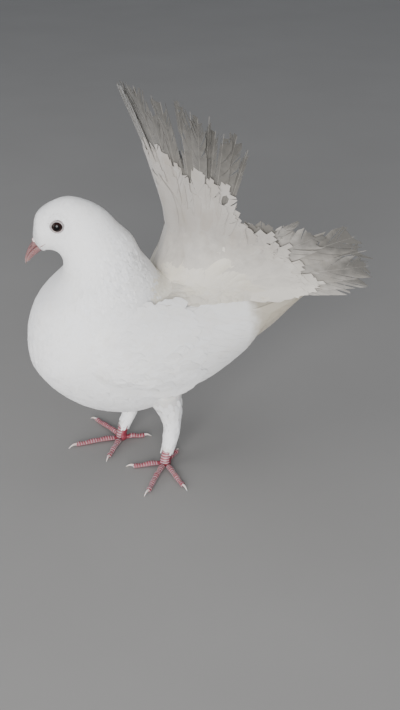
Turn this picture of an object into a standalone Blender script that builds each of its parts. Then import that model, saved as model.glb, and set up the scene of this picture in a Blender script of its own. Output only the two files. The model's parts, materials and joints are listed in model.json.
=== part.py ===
# A white fantail pigeon standing on level ground, life size, with its head turned to its right.
# Lengths are in millimetres until a mesh is made.
# The bird faces -Y, its left side is +X, and Z is up from the ground.
# The origin is on the ground under the body.

import math
import random

import bmesh
import bpy
from mathutils import Matrix, Vector
from mathutils.bvhtree import BVHTree

MM = 0.001
GAP = 0.3  # left between one piece and the next
ACROSS = Vector((1, 0, 0))

# The body's outline from the bill's root, over the head, down the neck and back to the vent.
# Each row is one section: ventral y, z, dorsal y, z, half width, and how much of the head's turn it takes.
BODY = (
    (-74.5, 184.8, -81.0, 194.0, 4.6, 1.0),
    (-73.0, 184.3, -79.8, 203.2, 9.5, 1.0),
    (-71.0, 185.3, -77.0, 213.0, 13.5, 1.0),
    (-67.5, 185.5, -68.1, 220.3, 16.0, 1.0),
    (-64.0, 184.3, -55.0, 224.8, 17.5, 1.0),
    (-61.2, 181.5, -41.0, 222.0, 19.0, 1.0),
    (-59.8, 176.6, -28.5, 215.0, 21.0, 1.0),
    (-61.5, 168.0, -18.5, 204.0, 24.0, 0.9),
    (-70.0, 158.0, -8.5, 193.0, 30.0, 0.65),
    (-83.0, 143.0, -2.0, 180.0, 39.0, 0.35),
    (-89.5, 122.0, 7.0, 168.0, 46.0, 0.1),
    (-88.0, 97.0, 16.0, 157.0, 49.0, 0.0),
    (-70.0, 72.0, 30.0, 154.0, 50.0, 0.0),
    (-45.0, 54.0, 46.0, 155.0, 50.0, 0.0),
    (-15.0, 45.0, 62.0, 156.0, 48.0, 0.0),
    (18.0, 50.0, 78.0, 154.0, 43.0, 0.0),
    (46.0, 66.0, 92.0, 149.0, 35.0, 0.0),
    (68.0, 84.0, 101.0, 143.0, 26.0, 0.0),
    (86.0, 100.0, 107.0, 135.0, 16.0, 0.0),
    (98.0, 112.0, 109.0, 126.0, 6.0, 0.0),
)
BODY_SIDES = 24
FACE_END = 3.0  # last section that the bill's root can reach
HEAD_END = 6.5  # section where the head is parted from the neck
NECK_END = 10.0  # and the neck from the torso
TORSO_END = len(BODY) - 1.0
HEAD_TURN = math.radians(-30)
NECK_AXIS = Vector((0, -45, 0))  # the upright line that the head turns about

EYE_PLACE = (-60.4, 208.2)
EYE_RADIUS = 4.6
EYE_SET_OUT = 2.0  # how far the eyeball stands out of the head
LID_WIDTH = 0.85

# Bill sections from root to tip: top y, z, bottom y, z, half width.
BILL_UPPER = (
    (-74.5, 193.8, -72.8, 191.6, 6.0),
    (-78.6, 193.6, -75.6, 189.7, 5.4),
    (-81.8, 191.2, -79.4, 186.8, 4.4),
    (-84.3, 187.2, -82.3, 184.0, 3.5),
    (-86.3, 183.0, -84.5, 181.3, 2.8),
    (-87.8, 178.6, -86.2, 177.4, 2.0),
    (-88.0, 175.8, -87.0, 175.1, 1.3),
    (-87.3, 173.6, -87.0, 173.5, 0.4),
)
BILL_LOWER = (
    (-73.2, 190.7, -72.0, 185.8, 5.2),
    (-75.6, 189.1, -74.9, 184.8, 4.8),
    (-79.5, 186.0, -78.8, 181.8, 3.9),
    (-82.4, 183.3, -81.2, 179.8, 3.1),
    (-84.6, 180.6, -83.5, 177.6, 2.3),
    (-85.8, 177.2, -85.2, 175.9, 1.5),
    (-86.5, 175.4, -86.3, 175.1, 0.5),
)
BILL_SIDES = 12
GAPE = (-70.2, 193.7)  # the corner of the mouth
SLIT_START = (-80.0, 186.2)
MOUTH_SLIT, SLIT_REACH = 0.5, 25.0  # how wide the slit opens, and how far out its cutter reaches
CERE_LOBE = (2.1, -81.0, 190.3)
CERE_SIZE = (2.0, 2.2, 2.4)
NOSTRIL_PLACE = (4.0, -81.9, 188.4)
NOSTRIL_SIZE = (0.9, 2.1, 0.7)

# Sections of the left wing's outer face, from the wrist to the tip: top edge, middle and bottom edge.
WING = (
    ((36, -64, 126), (40, -67, 118), (40, -64, 108)),
    ((37, -52, 142), (48, -54, 119), (45, -52, 92)),
    ((37, -34, 147), (53, -34, 118), (50, -30, 84)),
    ((38, 2, 147), (55, 4, 114), (48, 8, 73)),
    ((38, 42, 140), (51, 44, 113), (44, 46, 84)),
    ((36, 78, 132), (45, 80, 117), (41, 82, 100)),
    ((33, 108, 128), (38, 110, 121), (36, 112, 113)),
    ((30, 136, 127), (31, 136, 125), (30, 136, 123)),
)
WING_CORE_END = 4.6  # section where the wing's flesh and down end and only its flight feathers go on
WING_OVER_TORSO = 1.6  # least distance of the wing's outer face from the torso
WING_OFF_TORSO = 0.5  # and of its inner face
WING_INSET = 9.0  # how deep the wing reaches in, where the torso leaves it room
WING_LAYER = 0.95  # from one wing feather's middle to that of the feather over it
WING_MIDDLE = 0.65  # how thick a wing feather is along its shaft

# Tiers of the wing: count, lowest and highest root, lowest and highest tip, half width, and lifts on the way.
# Roots and tips are a section and a share of the way down from the wing's top edge.
WING_TIERS = {
    "primaries": (5, (3.5, 0.78), (3.0, 0.62), (6.45, 0.95), (6.95, 0.45), 5.0, (-3.4, -3.4, -2.0)),
    "secondaries": (6, (2.8, 0.86), (2.8, 0.16), (4.9, 0.97), (5.7, 0.16), 6.5, (-0.5, 1.6, 0.8)),
    "coverts": (5, (1.8, 0.84), (1.8, 0.18), (3.4, 0.9), (3.9, 0.18), 8.5, (-0.5, 1.6, 3.4)),
    "small_coverts": (4, (0.8, 0.78), (0.8, 0.24), (2.3, 0.84), (2.6, 0.2), 9.0, (-0.5, 1.2, 3.2)),
}

# The fan: the middle feathers lean forward, and the side feathers swing out and back.
FAN_ROOT = Vector((0, 52, 150))
FAN_LEAN = math.radians(22)
FAN_BACK_MIDDLE, FAN_BACK_SIDE = math.radians(15), math.radians(42)
FAN_SPREAD = math.radians(82)
FAN_ROOT_SPREAD = (14.0, 10.0, -14.0)  # how far the root of the last feather lies from the middle one's
FAN_LENGTH_MIDDLE, FAN_LENGTH_SIDE = 160.0, 130.0
FAN_BULGE = ((30.0,), (29.0,), (23.0,), (8.5,), (2.0,), (0.5,), (0.0,))  # how far its base stands forward
FAN_BULGE_STEP = 12.0  # the distance between two of these along the fan
FAN_BULGE_END = math.radians(76)
FAN_BULGE_MIDDLE = math.radians(25)  # nearer the middle than this, the bulge goes straight forward
FAN_BULGE_DEPTH = 5.0  # feathers this far to the front go with the whole bulge
FAN_CORE = ((0.0, 7.5, 7.5), (24.0, 7.4, 6.0), (38.0, 5.6, 4.6), (50.0, 1.5, 1.0))
LAYER = 1.25  # from one feather's middle to that of the feather over it
VANE_EDGE, VANE_MIDDLE = 0.55, 0.95  # how thick a feather is

# Tiers of the fan: count, root and tip distances, half width, and depth to the front at root and tip.
FAN_TIERS = {
    "flight": (12, (26.0, 1.0), 14.0, (0.0, 0.0)),
    "long_coverts": (6, (24.0, 0.66), 14.5, (3.6, 4.0)),
    "short_coverts": (4, (18.0, 0.46), 16.0, (5.4, 7.0)),
    "under_coverts": (3, (22.0, 0.52), 18.0, (-3.6, -4.0)),
}
RAGGED = 0.05  # how much the worn tips differ in length
LOST = (math.radians(29), math.radians(56), 0.56)  # where the left side's feathers are broken, and what is left

# Legs: centre line and half width from the ground up, for the foot's ball, the shank and the feathered thigh.
LEGS = {
    "left": ((30, 4, 0), (30, 4, 6), (29.3, 6.5, 13), (28, 10, 22), (27, 12, 35), (26, 10, 48), (25, 4, 66)),
    "right": ((-23, -9, 0), (-23, -9, 6), (-23.8, -6, 13), (-25.5, 0, 22), (-27, 5, 35), (-27, 6, 48), (-25, 4, 66)),
}
LEG_WIDTHS = (5.0, 5.6, 5.8, 6.6, 7.6, 11.0, 17.0)
FOOT_TOP, SHANK_TOP = 1.8, 4.0  # where the foot and the shank end, counted in rows of the centre line
LEG_SIDES = 12

# Toes: the end of each toe and of its claw on the ground.
TOES = {
    "left": {
        "inner": ((21.6, -20.2), (17.0, -26.0)),
        "middle": ((58.0, -25.7), (62.5, -32.5)),
        "outer": ((65.0, 0.5), (72.5, 0.5)),
        "back": ((19.5, 20.0), (15.5, 25.0)),
    },
    "right": {
        "inner": ((-2.0, -31.0), (3.5, -36.5)),
        "middle": ((-31.5, -46.5), (-31.0, -55.0)),
        "outer": ((-60.0, -15.0), (-67.5, -18.0)),
        "back": ((-16.5, 8.5), (-14.0, 15.0)),
    },
}
TOE_HALF_WIDTHS = (2.15, 1.75)
TOE_SIDES = 6
SCUTE_LENGTH = 4.2
CLAW_RISE = 1.6


# A feather's rows from root to tip: place, share of its width and of its thickness.
LONG_ROWS = ((0.0, 0.35, 1.3), (0.3, 0.75, 1.1), (0.68, 1.0, 1.0), (0.92, 0.8, 0.9), (1.0, 0.35, 0.7))
SHORT_ROWS = ((0.0, 0.4, 1.2), (0.45, 0.9, 1.0), (0.85, 0.95, 0.9), (1.0, 0.4, 0.7))


def spline(rows, position):
    """A smooth row of numbers between the given rows, at a position counted in rows."""
    last = len(rows) - 1
    start = min(max(int(position), 0), last - 1)
    t = position - start
    before, here, there, after = (rows[min(max(start + k, 0), last)] for k in (-1, 0, 1, 2))
    return [
        b + t * (c - a) / 2 + t * t * (a - 2.5 * b + 2 * c - d / 2) + t**3 * (1.5 * (b - c) + (d - a) / 2)
        for a, b, c, d in zip(before, here, there, after)
    ]


def steps(start, end, count):
    return [start + (end - start) * k / count for k in range(count + 1)]


def turned(point, share):
    """The point after the head's turn, or a share of it, about the neck's axis."""
    return Matrix.Rotation(HEAD_TURN * share, 3, "Z") @ (point - NECK_AXIS) + NECK_AXIS


def material(name, colour, roughness):
    made = bpy.data.materials.get(name) or bpy.data.materials.new(name)
    made.use_nodes = True
    shader = made.node_tree.nodes["Principled BSDF"]
    shader.inputs["Base Color"].default_value = (*colour, 1.0)
    shader.inputs["Roughness"].default_value = roughness
    return made


PLUMAGE = ("plumage", (0.86, 0.85, 0.83), 0.75)
TAIL_PLUMAGE = ("tail_plumage", (0.74, 0.70, 0.67), 0.75)
HORN = ("horn", (0.80, 0.55, 0.52), 0.4)
EYE_DARK = ("eye", (0.02, 0.012, 0.01), 0.08)
SCUTES = ("scutes", (0.62, 0.16, 0.17), 0.5)
CLAW_HORN = ("claw", (0.78, 0.68, 0.66), 0.4)


def shape(name, points, faces, finish=PLUMAGE):
    """A named mesh object from points in millimetres."""
    mesh = bpy.data.meshes.new(name)
    mesh.from_pydata([p * MM for p in points], [], faces)
    mesh.materials.append(material(*finish))
    made = bpy.data.objects.new(name, mesh)
    bpy.context.scene.collection.objects.link(made)
    return made


def loft(name, rings, finish=PLUMAGE, flat=False):
    """A closed skin over rings of equal count, with a fan of triangles over each end, or a strip on flat rings."""
    count = len(rings[0])
    points = [p for ring in rings for p in ring]
    faces = []
    for row in range(len(rings) - 1):
        for k in range(count):
            a, b = row * count + k, row * count + (k + 1) % count
            faces += [(a, b, b + count), (a, b + count, a + count)]
    for ring, start, backward in ((rings[0], 0, True), (rings[-1], len(points) - count, False)):
        if flat:
            for k in range(count // 2 - 1):
                a, b, c, d = (start + i for i in (k, k + 1, count - 2 - k, count - 1 - k))
                faces += [(a, c, b), (a, d, c)] if backward else [(a, b, c), (a, c, d)]
            continue
        middle = len(points)
        points.append(sum(ring, Vector()) / count)
        for k in range(count):
            edge = (start + k, start + (k + 1) % count)
            faces.append((*(edge[::-1] if backward else edge), middle))
    return outward(shape(name, points, faces, finish))


def outward(made):
    """Turns the faces of a closed mesh outwards."""
    shell = bmesh.new()
    shell.from_mesh(made.data)
    bmesh.ops.recalc_face_normals(shell, faces=shell.faces)
    if shell.calc_volume(signed=True) < 0:
        bmesh.ops.reverse_faces(shell, faces=shell.faces)
    shell.to_mesh(made.data)
    shell.free()
    return made


def plate(name, front, back):
    """A thin closed plate between two grids of points, split into triangles alike on both faces."""
    rows, count = len(front), len(front[0])
    points = [p for grid in (front, back) for row in grid for p in row]
    faces = []

    def at(layer, row, column):
        return layer * rows * count + row * count + column

    for row in range(rows - 1):
        for k in range(count - 1):
            for layer in (0, 1):
                a, b = at(layer, row, k), at(layer, row, k + 1)
                c, d = at(layer, row + 1, k + 1), at(layer, row + 1, k)
                faces += [(a, b, c), (a, c, d)] if layer == 0 else [(a, c, b), (a, d, c)]
    rim = [(0, k) for k in range(count)] + [(row, count - 1) for row in range(1, rows)]
    rim += [(rows - 1, k) for k in range(count - 2, -1, -1)] + [(row, 0) for row in range(rows - 2, 0, -1)]
    for here, there in zip(rim, rim[1:] + rim[:1]):
        a, b, c, d = at(0, *here), at(0, *there), at(1, *there), at(1, *here)
        faces += [(a, d, c), (a, c, b)]
    return outward(shape(name, points, faces))


def enclosed(faces):
    """The volume inside closed faces, times three."""
    return abs(sum(face.calc_center_median().dot(face.normal) * face.calc_area() for face in faces))


def largest_surface(mesh):
    """Keeps only the closed surface of greatest volume."""
    shell = bmesh.new()
    shell.from_mesh(mesh)
    left, surfaces = set(shell.faces), []
    while left:
        found, front = set(), [left.pop()]
        while front:
            face = front.pop()
            found.add(face)
            joined = [edge for edge in face.edges if len(edge.link_faces) == 2]
            near = {other for edge in joined for other in edge.link_faces} & left
            left -= near
            front += near
        surfaces.append(found)
    best = max(surfaces, key=enclosed)
    bmesh.ops.delete(shell, geom=[f for f in shell.faces if f not in best], context="FACES")
    shell.to_mesh(mesh)
    shell.free()


def combine(made, pieces, operation, solver="EXACT"):
    """Joins the pieces to an object, or cuts them from it, by one Boolean, and removes them."""
    group = bpy.data.collections.new("pieces")
    bpy.context.scene.collection.children.link(group)
    for piece in pieces:
        bpy.context.scene.collection.objects.unlink(piece)
        group.objects.link(piece)
    boolean = made.modifiers.new("combine", "BOOLEAN")
    boolean.operation = operation
    boolean.solver = solver
    boolean.operand_type = "COLLECTION"
    boolean.collection = group
    result = bpy.data.meshes.new_from_object(made.evaluated_get(bpy.context.evaluated_depsgraph_get()))
    made.modifiers.clear()
    made.data = result
    for piece in pieces:
        bpy.data.objects.remove(piece)
    bpy.data.collections.remove(group)
    largest_surface(result)
    return made


def ball(name, centre, size, finish=PLUMAGE, across=14, rows=8):
    """An ellipsoid from its centre and its three half sizes."""
    shell = bmesh.new()
    bmesh.ops.create_uvsphere(shell, u_segments=across, v_segments=rows, radius=1)
    points = [Vector(centre) + Vector(v.co[k] * size[k] for k in range(3)) for v in shell.verts]
    faces = [[v.index for v in face.verts] for face in shell.faces]
    shell.free()
    return outward(shape(name, points, faces, finish))


def body_ring(position, grow=0.0, along=0.0):
    """One section of the body, grown sideways and moved along the body by the given distances."""
    vy, vz, dy, dz, width, turn = spline(BODY, position)
    ventral, dorsal = Vector((0, vy, vz)), Vector((0, dy, dz))
    half = (dorsal - ventral) / 2
    reach = half.normalized()
    centre = (ventral + dorsal) / 2 + reach.cross(ACROSS) * along
    ring = []
    for k in range(BODY_SIDES):
        angle = math.tau * k / BODY_SIDES
        offset = reach * (half.length + grow) * math.cos(angle)
        offset += ACROSS * (width + grow) * math.sin(angle)
        ring.append(turned(centre + offset, turn))
    return ring


def make_body():
    """The head, the neck and the torso, one skin parted by two thin gaps. Gives back the head."""
    neck = [body_ring(HEAD_END, along=GAP)] + [body_ring(p) for p in steps(HEAD_END, NECK_END, 7)[1:]]
    torso = [body_ring(NECK_END, along=GAP)] + [body_ring(p) for p in steps(NECK_END, TORSO_END, 16)[1:]]
    loft("neck", neck)
    loft("torso", torso)
    return loft("head", [body_ring(p) for p in steps(0, HEAD_END, 12)])


def torso_cutter(grow=GAP):
    """The torso and the neck grown by a gap, to cut clear whatever lies on them."""
    positions = steps(HEAD_END, NECK_END, 7)[:-1] + steps(NECK_END, TORSO_END, 16)
    rings = [body_ring(p, grow) for p in positions] + [body_ring(TORSO_END, grow, along=grow)]
    return loft("cutter", rings)


def head_half_width(y, z):
    """Half width of the head at a place on its side."""
    best = None
    for position in steps(0, HEAD_END, 130):
        vy, vz, dy, dz, width, _ = spline(BODY, position)
        reach, place = Vector((dy - vy, dz - vz)), Vector((y - (vy + dy) / 2, z - (vz + dz) / 2))
        along = place.dot(reach.normalized())
        miss = (place - reach.normalized() * along).length
        if best is None or miss < best[0]:
            best = (miss, width * math.sqrt(max(0.0, 1 - (along / reach.length * 2) ** 2)))
    return best[1]


def make_eyes_and_lids(head):
    eye_x = head_half_width(*EYE_PLACE)
    lids, sockets = [], []
    for side, name in ((1, "left"), (-1, "right")):
        middle = Vector((side * (eye_x + EYE_SET_OUT - EYE_RADIUS), *EYE_PLACE))
        socket = ball("socket", middle, [EYE_RADIUS + GAP] * 3, across=14, rows=8)
        eye = ball(f"eye_{name}", middle, [EYE_RADIUS] * 3, EYE_DARK, 14, 8)
        rings = []
        for k in range(16):
            turn = math.tau * k / 16
            out = Vector((0, math.cos(turn), math.sin(turn)))
            centre = middle + out * (EYE_RADIUS - 0.35) + ACROSS * side * (EYE_RADIUS - EYE_SET_OUT)
            rings.append(
                [
                    centre + (out * math.cos(a) + ACROSS * side * math.sin(a)) * LID_WIDTH
                    for a in (math.tau * j / 5 for j in range(5))
                ]
            )
        lids.append(hoop("lid", rings))
        sockets.append(socket)
        place_on_head(eye)
    for piece in lids + sockets:
        place_on_head(piece)
    combine(head, lids, "UNION")
    combine(head, sockets, "DIFFERENCE")


def hoop(name, rings):
    """A closed ring of sections, the last joined to the first."""
    count = len(rings[0])
    points = [p for ring in rings for p in ring]
    faces = []
    for row in range(len(rings)):
        for k in range(count):
            a, b = row * count + k, row * count + (k + 1) % count
            c, d = ((row + 1) % len(rings)) * count + (k + 1) % count, ((row + 1) % len(rings)) * count + k
            faces += [(a, b, c), (a, c, d)]
    return outward(shape(name, points, faces))


def place_on_head(made):
    """Turns a piece made on the straight head with the head."""
    for vertex in made.data.vertices:
        vertex.co = turned(vertex.co / MM, 1.0) * MM
    return made


def cut_mouth(head):
    """The slit from the bill's root back to the corner of the mouth."""
    start, end = Vector((0, *SLIT_START)), Vector((0, *GAPE))
    thick = (end - start).normalized().cross(ACROSS) * MOUTH_SLIT / 2
    ring = [start + thick, end, start - thick]
    reach = ACROSS * SLIT_REACH
    place = [[p + reach for p in ring], [p - reach for p in ring]]
    combine(head, [place_on_head(loft("slit", place))], "DIFFERENCE")


def bill_ring(row):
    top_y, top_z, low_y, low_z, width = row
    top, low = Vector((0, top_y, top_z)), Vector((0, low_y, low_z))
    centre, half = (top + low) / 2, (top - low) / 2
    return [
        centre + half * math.cos(a) + ACROSS * width * math.sin(a)
        for a in (math.tau * k / BILL_SIDES for k in range(BILL_SIDES))
    ]


def make_bill():
    upper, lower = (
        loft(name, [bill_ring(spline(rows, p)) for p in steps(0, len(rows) - 1, count)], HORN)
        for name, rows, count in (("bill_upper", BILL_UPPER, 7), ("bill_lower", BILL_LOWER, 6))
    )
    x, y, z = CERE_LOBE
    lobes = [ball("cere", (side * x, y, z), CERE_SIZE, HORN, 8, 6) for side in (1, -1)]
    combine(upper, lobes, "UNION")
    x, y, z = NOSTRIL_PLACE
    nostrils = [ball("nostril", (side * x, y, z), NOSTRIL_SIZE, HORN, 8, 6) for side in (1, -1)]
    combine(upper, nostrils, "DIFFERENCE")
    for piece in (upper, lower):
        place_on_head(piece)
        rings = [body_ring(0, GAP, -GAP)] + [body_ring(p, GAP) for p in steps(0, FACE_END, 5)[1:]]
        combine(piece, [loft("cutter", rings)], "DIFFERENCE")


def torso_distance(tree, point):
    """Distance from the torso's skin, negative inside it, with the nearest direction outwards."""
    place, normal, _, _ = tree.find_nearest(point)
    away = point - place
    outside = away.dot(normal) >= 0
    return (away.length if outside else -away.length), normal


def wing_point(tree, side, section, across, lift=0.0):
    """A point over the wing's outer face, at a section and a share of the way from its top edge down."""
    tops, middles, bottoms = (spline([row[k] for row in WING], section) for k in range(3))
    weights = ((1 - across) * (1 - 2 * across), 4 * across * (1 - across), across * (2 * across - 1))
    point = sum((Vector(p) * w for p, w in zip((tops, middles, bottoms), weights)), Vector())
    for _ in range(2):
        distance, normal = torso_distance(tree, point)
        if distance < WING_OVER_TORSO:
            point += normal * (WING_OVER_TORSO - distance)
    slope = Vector(bottoms) - Vector(tops)
    outward_way = Vector((1, 0, 0)) - slope * (slope.x / slope.length_squared)
    point += outward_way.normalized() * lift
    return Vector((side * point.x, point.y, point.z))


def wing_height(section):
    tops, bottoms = (Vector(spline([row[k] for row in WING], section)) for k in (0, 2))
    return (tops - bottoms).length * 1.1


def wing_core(tree, side):
    """The folded wing without its feathers, its inner face following the torso."""
    rings = []
    for section in steps(0, WING_CORE_END, 10):
        left = (WING_CORE_END - section) / WING_CORE_END
        inset = WING_INSET * min(1.0, 0.12 + 2.2 * left)
        outer = [wing_point(tree, side, section, v) for v in steps(0, 1, 6)]
        inner = []
        for k, point in enumerate(outer):
            reach = inset * (0.3 + 0.7 * math.sin(math.pi * k / 6))
            place = Vector((side * point.x - reach, point.y, point.z))
            while reach > WING_OFF_TORSO and torso_distance(tree, place)[0] < WING_OFF_TORSO:
                reach -= 0.2
                place.x += 0.2
            inner.append(Vector((side * place.x, place.y, place.z)))
        rings.append(outer + inner[::-1])
    return loft("wing_core", rings, flat=True)


def wing_vane(tree, side, root, tip, width, lifts, crowding, rows):
    """One feather of the folded wing, its lower edge raised over the feather below."""
    front, back = [], []
    for t, share, thick in rows:
        section, across = (a + (b - a) * t for a, b in zip(root, tip))
        height = wing_height(section)
        lift = spline([(lift,) for lift in lifts], 2 * min(1.0, 0.1 + 1.2 * t) if t else 0)[0]
        spacing = height * crowding[0] * (1 - t) + height * crowding[1] * t
        row_front, row_back = [], []
        for x in (-1, 0, 1):
            offset = x * width * share
            tilt = WING_LAYER * offset / max(spacing, width)
            half = (WING_MIDDLE if x == 0 else VANE_EDGE) / 2 * max(thick, 1.0)
            row_front.append(wing_point(tree, side, section, across + offset / height, lift + tilt + half))
            row_back.append(wing_point(tree, side, section, across + offset / height, lift + tilt - half))
        front.append(row_front)
        back.append(row_back)
    return plate("vane", front, back)


def make_wings(tree):
    for side, name in ((1, "left"), (-1, "right")):
        wing = wing_core(tree, side)
        wing.name = f"wing_{name}"
        vanes = []
        for tier, (count, root_a, root_b, tip_a, tip_b, width, lifts) in WING_TIERS.items():
            crowding = [abs(b[1] - a[1]) / (count - 1) for a, b in ((root_a, root_b), (tip_a, tip_b))]
            for k in range(count):
                share = k / (count - 1)
                root = [a + (b - a) * share for a, b in zip(root_a, root_b)]
                tip = [a + (b - a) * share for a, b in zip(tip_a, tip_b)]
                stack = WING_LAYER * k if tier == "primaries" else 0.0
                rows = LONG_ROWS if tier == "primaries" else SHORT_ROWS
                raised = [lift + stack for lift in lifts]
                vanes.append(wing_vane(tree, side, root, tip, width, raised, crowding, rows))
        combine(wing, vanes, "UNION")
        combine(wing, [torso_cutter()], "DIFFERENCE")


def torso_skin():
    """The torso and neck as one list of points and one of triangles."""
    rings = [body_ring(p) for p in steps(HEAD_END, TORSO_END, 40)]
    points = [p for ring in rings for p in ring]
    faces = []
    for row in range(len(rings) - 1):
        for k in range(BODY_SIDES):
            a, b = row * BODY_SIDES + k, row * BODY_SIDES + (k + 1) % BODY_SIDES
            faces += [(a, b, b + BODY_SIDES), (a, b + BODY_SIDES, a + BODY_SIDES)]
    return points, faces


def fan_bulge(angle, along, depth):
    """How much further forward a point of the fan lies for the coverts at its root."""
    last = len(FAN_BULGE) - 1
    rise = spline(FAN_BULGE, min(max(along / FAN_BULGE_STEP, 0.0), last))[0]
    share = max(0.0, 1 - (max(angle, 0.0) / FAN_BULGE_END) ** 2)
    return rise * share * min(max(depth / FAN_BULGE_DEPTH, 0.0), 1.0)


def fan_point(side, angle, along, depth):
    """A point of the fan: an angle from the middle, a distance from the root and a depth to the front."""
    share = min(max(angle / math.radians(80), 0.0), 1.0)
    back = FAN_BACK_MIDDLE + (FAN_BACK_SIDE - FAN_BACK_MIDDLE) * share
    up = Vector((0, -math.sin(FAN_LEAN), math.cos(FAN_LEAN)))
    out = Vector((side * math.cos(back), math.sin(back), 0))
    direction = up * math.cos(angle) + out * math.sin(angle)
    sideways = out * math.cos(angle) - up * math.sin(angle)
    front = sideways.cross(direction) * side
    x, y, z = FAN_ROOT_SPREAD
    turn = 1 - math.cos(angle)
    root = FAN_ROOT + Vector((side * x * math.sin(angle), y * turn, z * turn))
    point = root + direction * along + front * depth
    bulge = front * fan_bulge(angle, along, depth)
    bulge.x *= min(max(angle / FAN_BULGE_MIDDLE, 0.0), 1.0)
    point += bulge
    point.x = side * max(side * point.x, GAP / 2)
    return point


def fan_length(angle):
    return FAN_LENGTH_MIDDLE + (FAN_LENGTH_SIDE - FAN_LENGTH_MIDDLE) * angle / math.radians(90)


def fan_vane(side, angle, start, end, width, depths, step, rows):
    """One feather of the fan, its outer edge raised over the next feather's inner edge."""
    front, back = [], []
    for t, share, thick in rows:
        along = start + (end - start) * t
        radius = along + FAN_ROOT_SPREAD[0]
        depth = depths[0] + (depths[1] - depths[0]) * min(1.0, 2 * t)
        half_width = min(width * share, 1.6 * radius * step)
        row_front, row_back = [], []
        for x in (-1, 0, 1):
            offset = x * half_width
            tilt = LAYER * offset / (radius * step)
            half = (VANE_MIDDLE if x == 0 else VANE_EDGE) / 2 * thick
            place = angle + offset / radius
            row_front.append(fan_point(side, place, along, depth + tilt + half))
            row_back.append(fan_point(side, place, along, depth + tilt - half))
        front.append(row_front)
        back.append(row_back)
    return plate("vane", front, back)


def make_tail(tree):
    draw = random.Random(5)
    for side, name in ((1, "left"), (-1, "right")):
        rings = []
        for angle in steps(0, FAN_SPREAD, 6):
            ring = [fan_point(side, angle, s, d) for s, d, _ in FAN_CORE]
            ring += [fan_point(side, angle, s, -d) for s, _, d in FAN_CORE[::-1]]
            rings.append(ring)
        tail = loft(f"tail_{name}", rings, TAIL_PLUMAGE, flat=True)
        vanes = []
        for tier, (count, (start, reach), width, depths) in FAN_TIERS.items():
            step = FAN_SPREAD / count
            for k in range(count):
                angle = step * (k + 0.5)
                end = fan_length(angle) * reach * (1 + RAGGED * draw.uniform(-1, 1))
                if tier == "flight" and side == 1 and LOST[0] < angle < LOST[1]:
                    end *= LOST[2]
                rows = LONG_ROWS if tier == "flight" else SHORT_ROWS
                vanes.append(fan_vane(side, angle, start, end, width, depths, step, rows))
        combine(tail, vanes, "UNION")
        combine(tail, [torso_cutter()], "DIFFERENCE")


def leg_ring(path, widths, position, grow=0.0, lift=0.0):
    x, y, z = spline(path, position)
    radius = spline([(w,) for w in widths], position)[0] + grow
    return [
        Vector((x + radius * math.cos(a), y + radius * math.sin(a), z + lift))
        for a in (math.tau * k / LEG_SIDES for k in range(LEG_SIDES))
    ]


def make_leg(name):
    path = LEGS[name]
    top = len(path) - 1
    foot = loft(f"foot_{name}", [leg_ring(path, LEG_WIDTHS, p) for p in steps(0, FOOT_TOP, 5)], SCUTES)
    shank = [leg_ring(path, LEG_WIDTHS, p) for p in steps(FOOT_TOP, SHANK_TOP, 6)]
    shank[0] = leg_ring(path, LEG_WIDTHS, FOOT_TOP, lift=GAP)
    loft(f"shank_{name}", shank)
    thigh = [leg_ring(path, LEG_WIDTHS, p) for p in steps(SHANK_TOP, top, 7)]
    thigh[0] = leg_ring(path, LEG_WIDTHS, SHANK_TOP, lift=GAP)
    combine(loft(f"thigh_{name}", thigh), [torso_cutter()], "DIFFERENCE")
    for toe, (end, claw) in TOES[name].items():
        make_toe(f"{name}_{toe}", Vector(path[0]), Vector((*end, 0)), Vector((*claw, 0)), path)


def toe_ring(place, direction, radius, height):
    """A section of a toe, round above and flat on the ground."""
    sideways = direction.cross(Vector((0, 0, 1))).normalized()
    ring = []
    for k in range(TOE_SIDES):
        angle = math.tau * (k + 0.5) / TOE_SIDES
        rise = Vector((0, 0, height + radius * math.sin(angle)))
        point = place + sideways * radius * math.cos(angle) + rise
        point.z = max(point.z, 0.0)
        ring.append(point)
    return ring


def make_toe(name, start, end, claw, path):
    length = (end - start).length
    direction = (end - start).normalized()
    wide, narrow = TOE_HALF_WIDTHS
    count = round(length / SCUTE_LENGTH)
    rings = []
    for k in range(count):
        for share, swell in ((0.08, 0.9), (0.95, 1.04)):
            t = (k + share) / count
            radius = (wide + (narrow - wide) * t) * swell
            rings.append(toe_ring(start + direction * length * t, direction, radius, radius * 0.85))
    rings.append(toe_ring(end, direction, narrow * 0.7, narrow * 0.8))
    toe = loft(f"toe_{name}", rings, SCUTES)
    foot = [leg_ring(path, LEG_WIDTHS, p, GAP) for p in steps(0, FOOT_TOP, 5)]
    foot[0] = leg_ring(path, LEG_WIDTHS, 0, GAP, lift=-1)
    combine(toe, [loft("cutter", foot)], "DIFFERENCE")
    reach = (claw - end).length
    heading = (claw - end).normalized()
    rings = []
    for k in range(5):
        t = k / 4
        radius = 1.25 * (1 - t) ** 0.7 + 0.15
        rise = narrow * 0.8 + CLAW_RISE * math.sin(math.pi * t) - 1.1 * t
        place = end + direction * GAP + heading * reach * t
        rings.append(toe_ring(place, direction.lerp(heading, t).normalized(), radius, rise))
    loft(f"claw_{name}", rings, CLAW_HORN)


def set_origin():
    """Moves the whole bird until the middle of its outer box lies over the origin, with its soles on the ground."""
    corners = [v.co for made in bpy.data.objects for v in made.data.vertices]
    middle = Vector((min(c[k] for c in corners) + max(c[k] for c in corners)) / 2 for k in range(2))
    for made in bpy.data.objects:
        made.data.transform(Matrix.Translation((-middle.x, -middle.y, 0)))
        made.data.shade_smooth()


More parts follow.
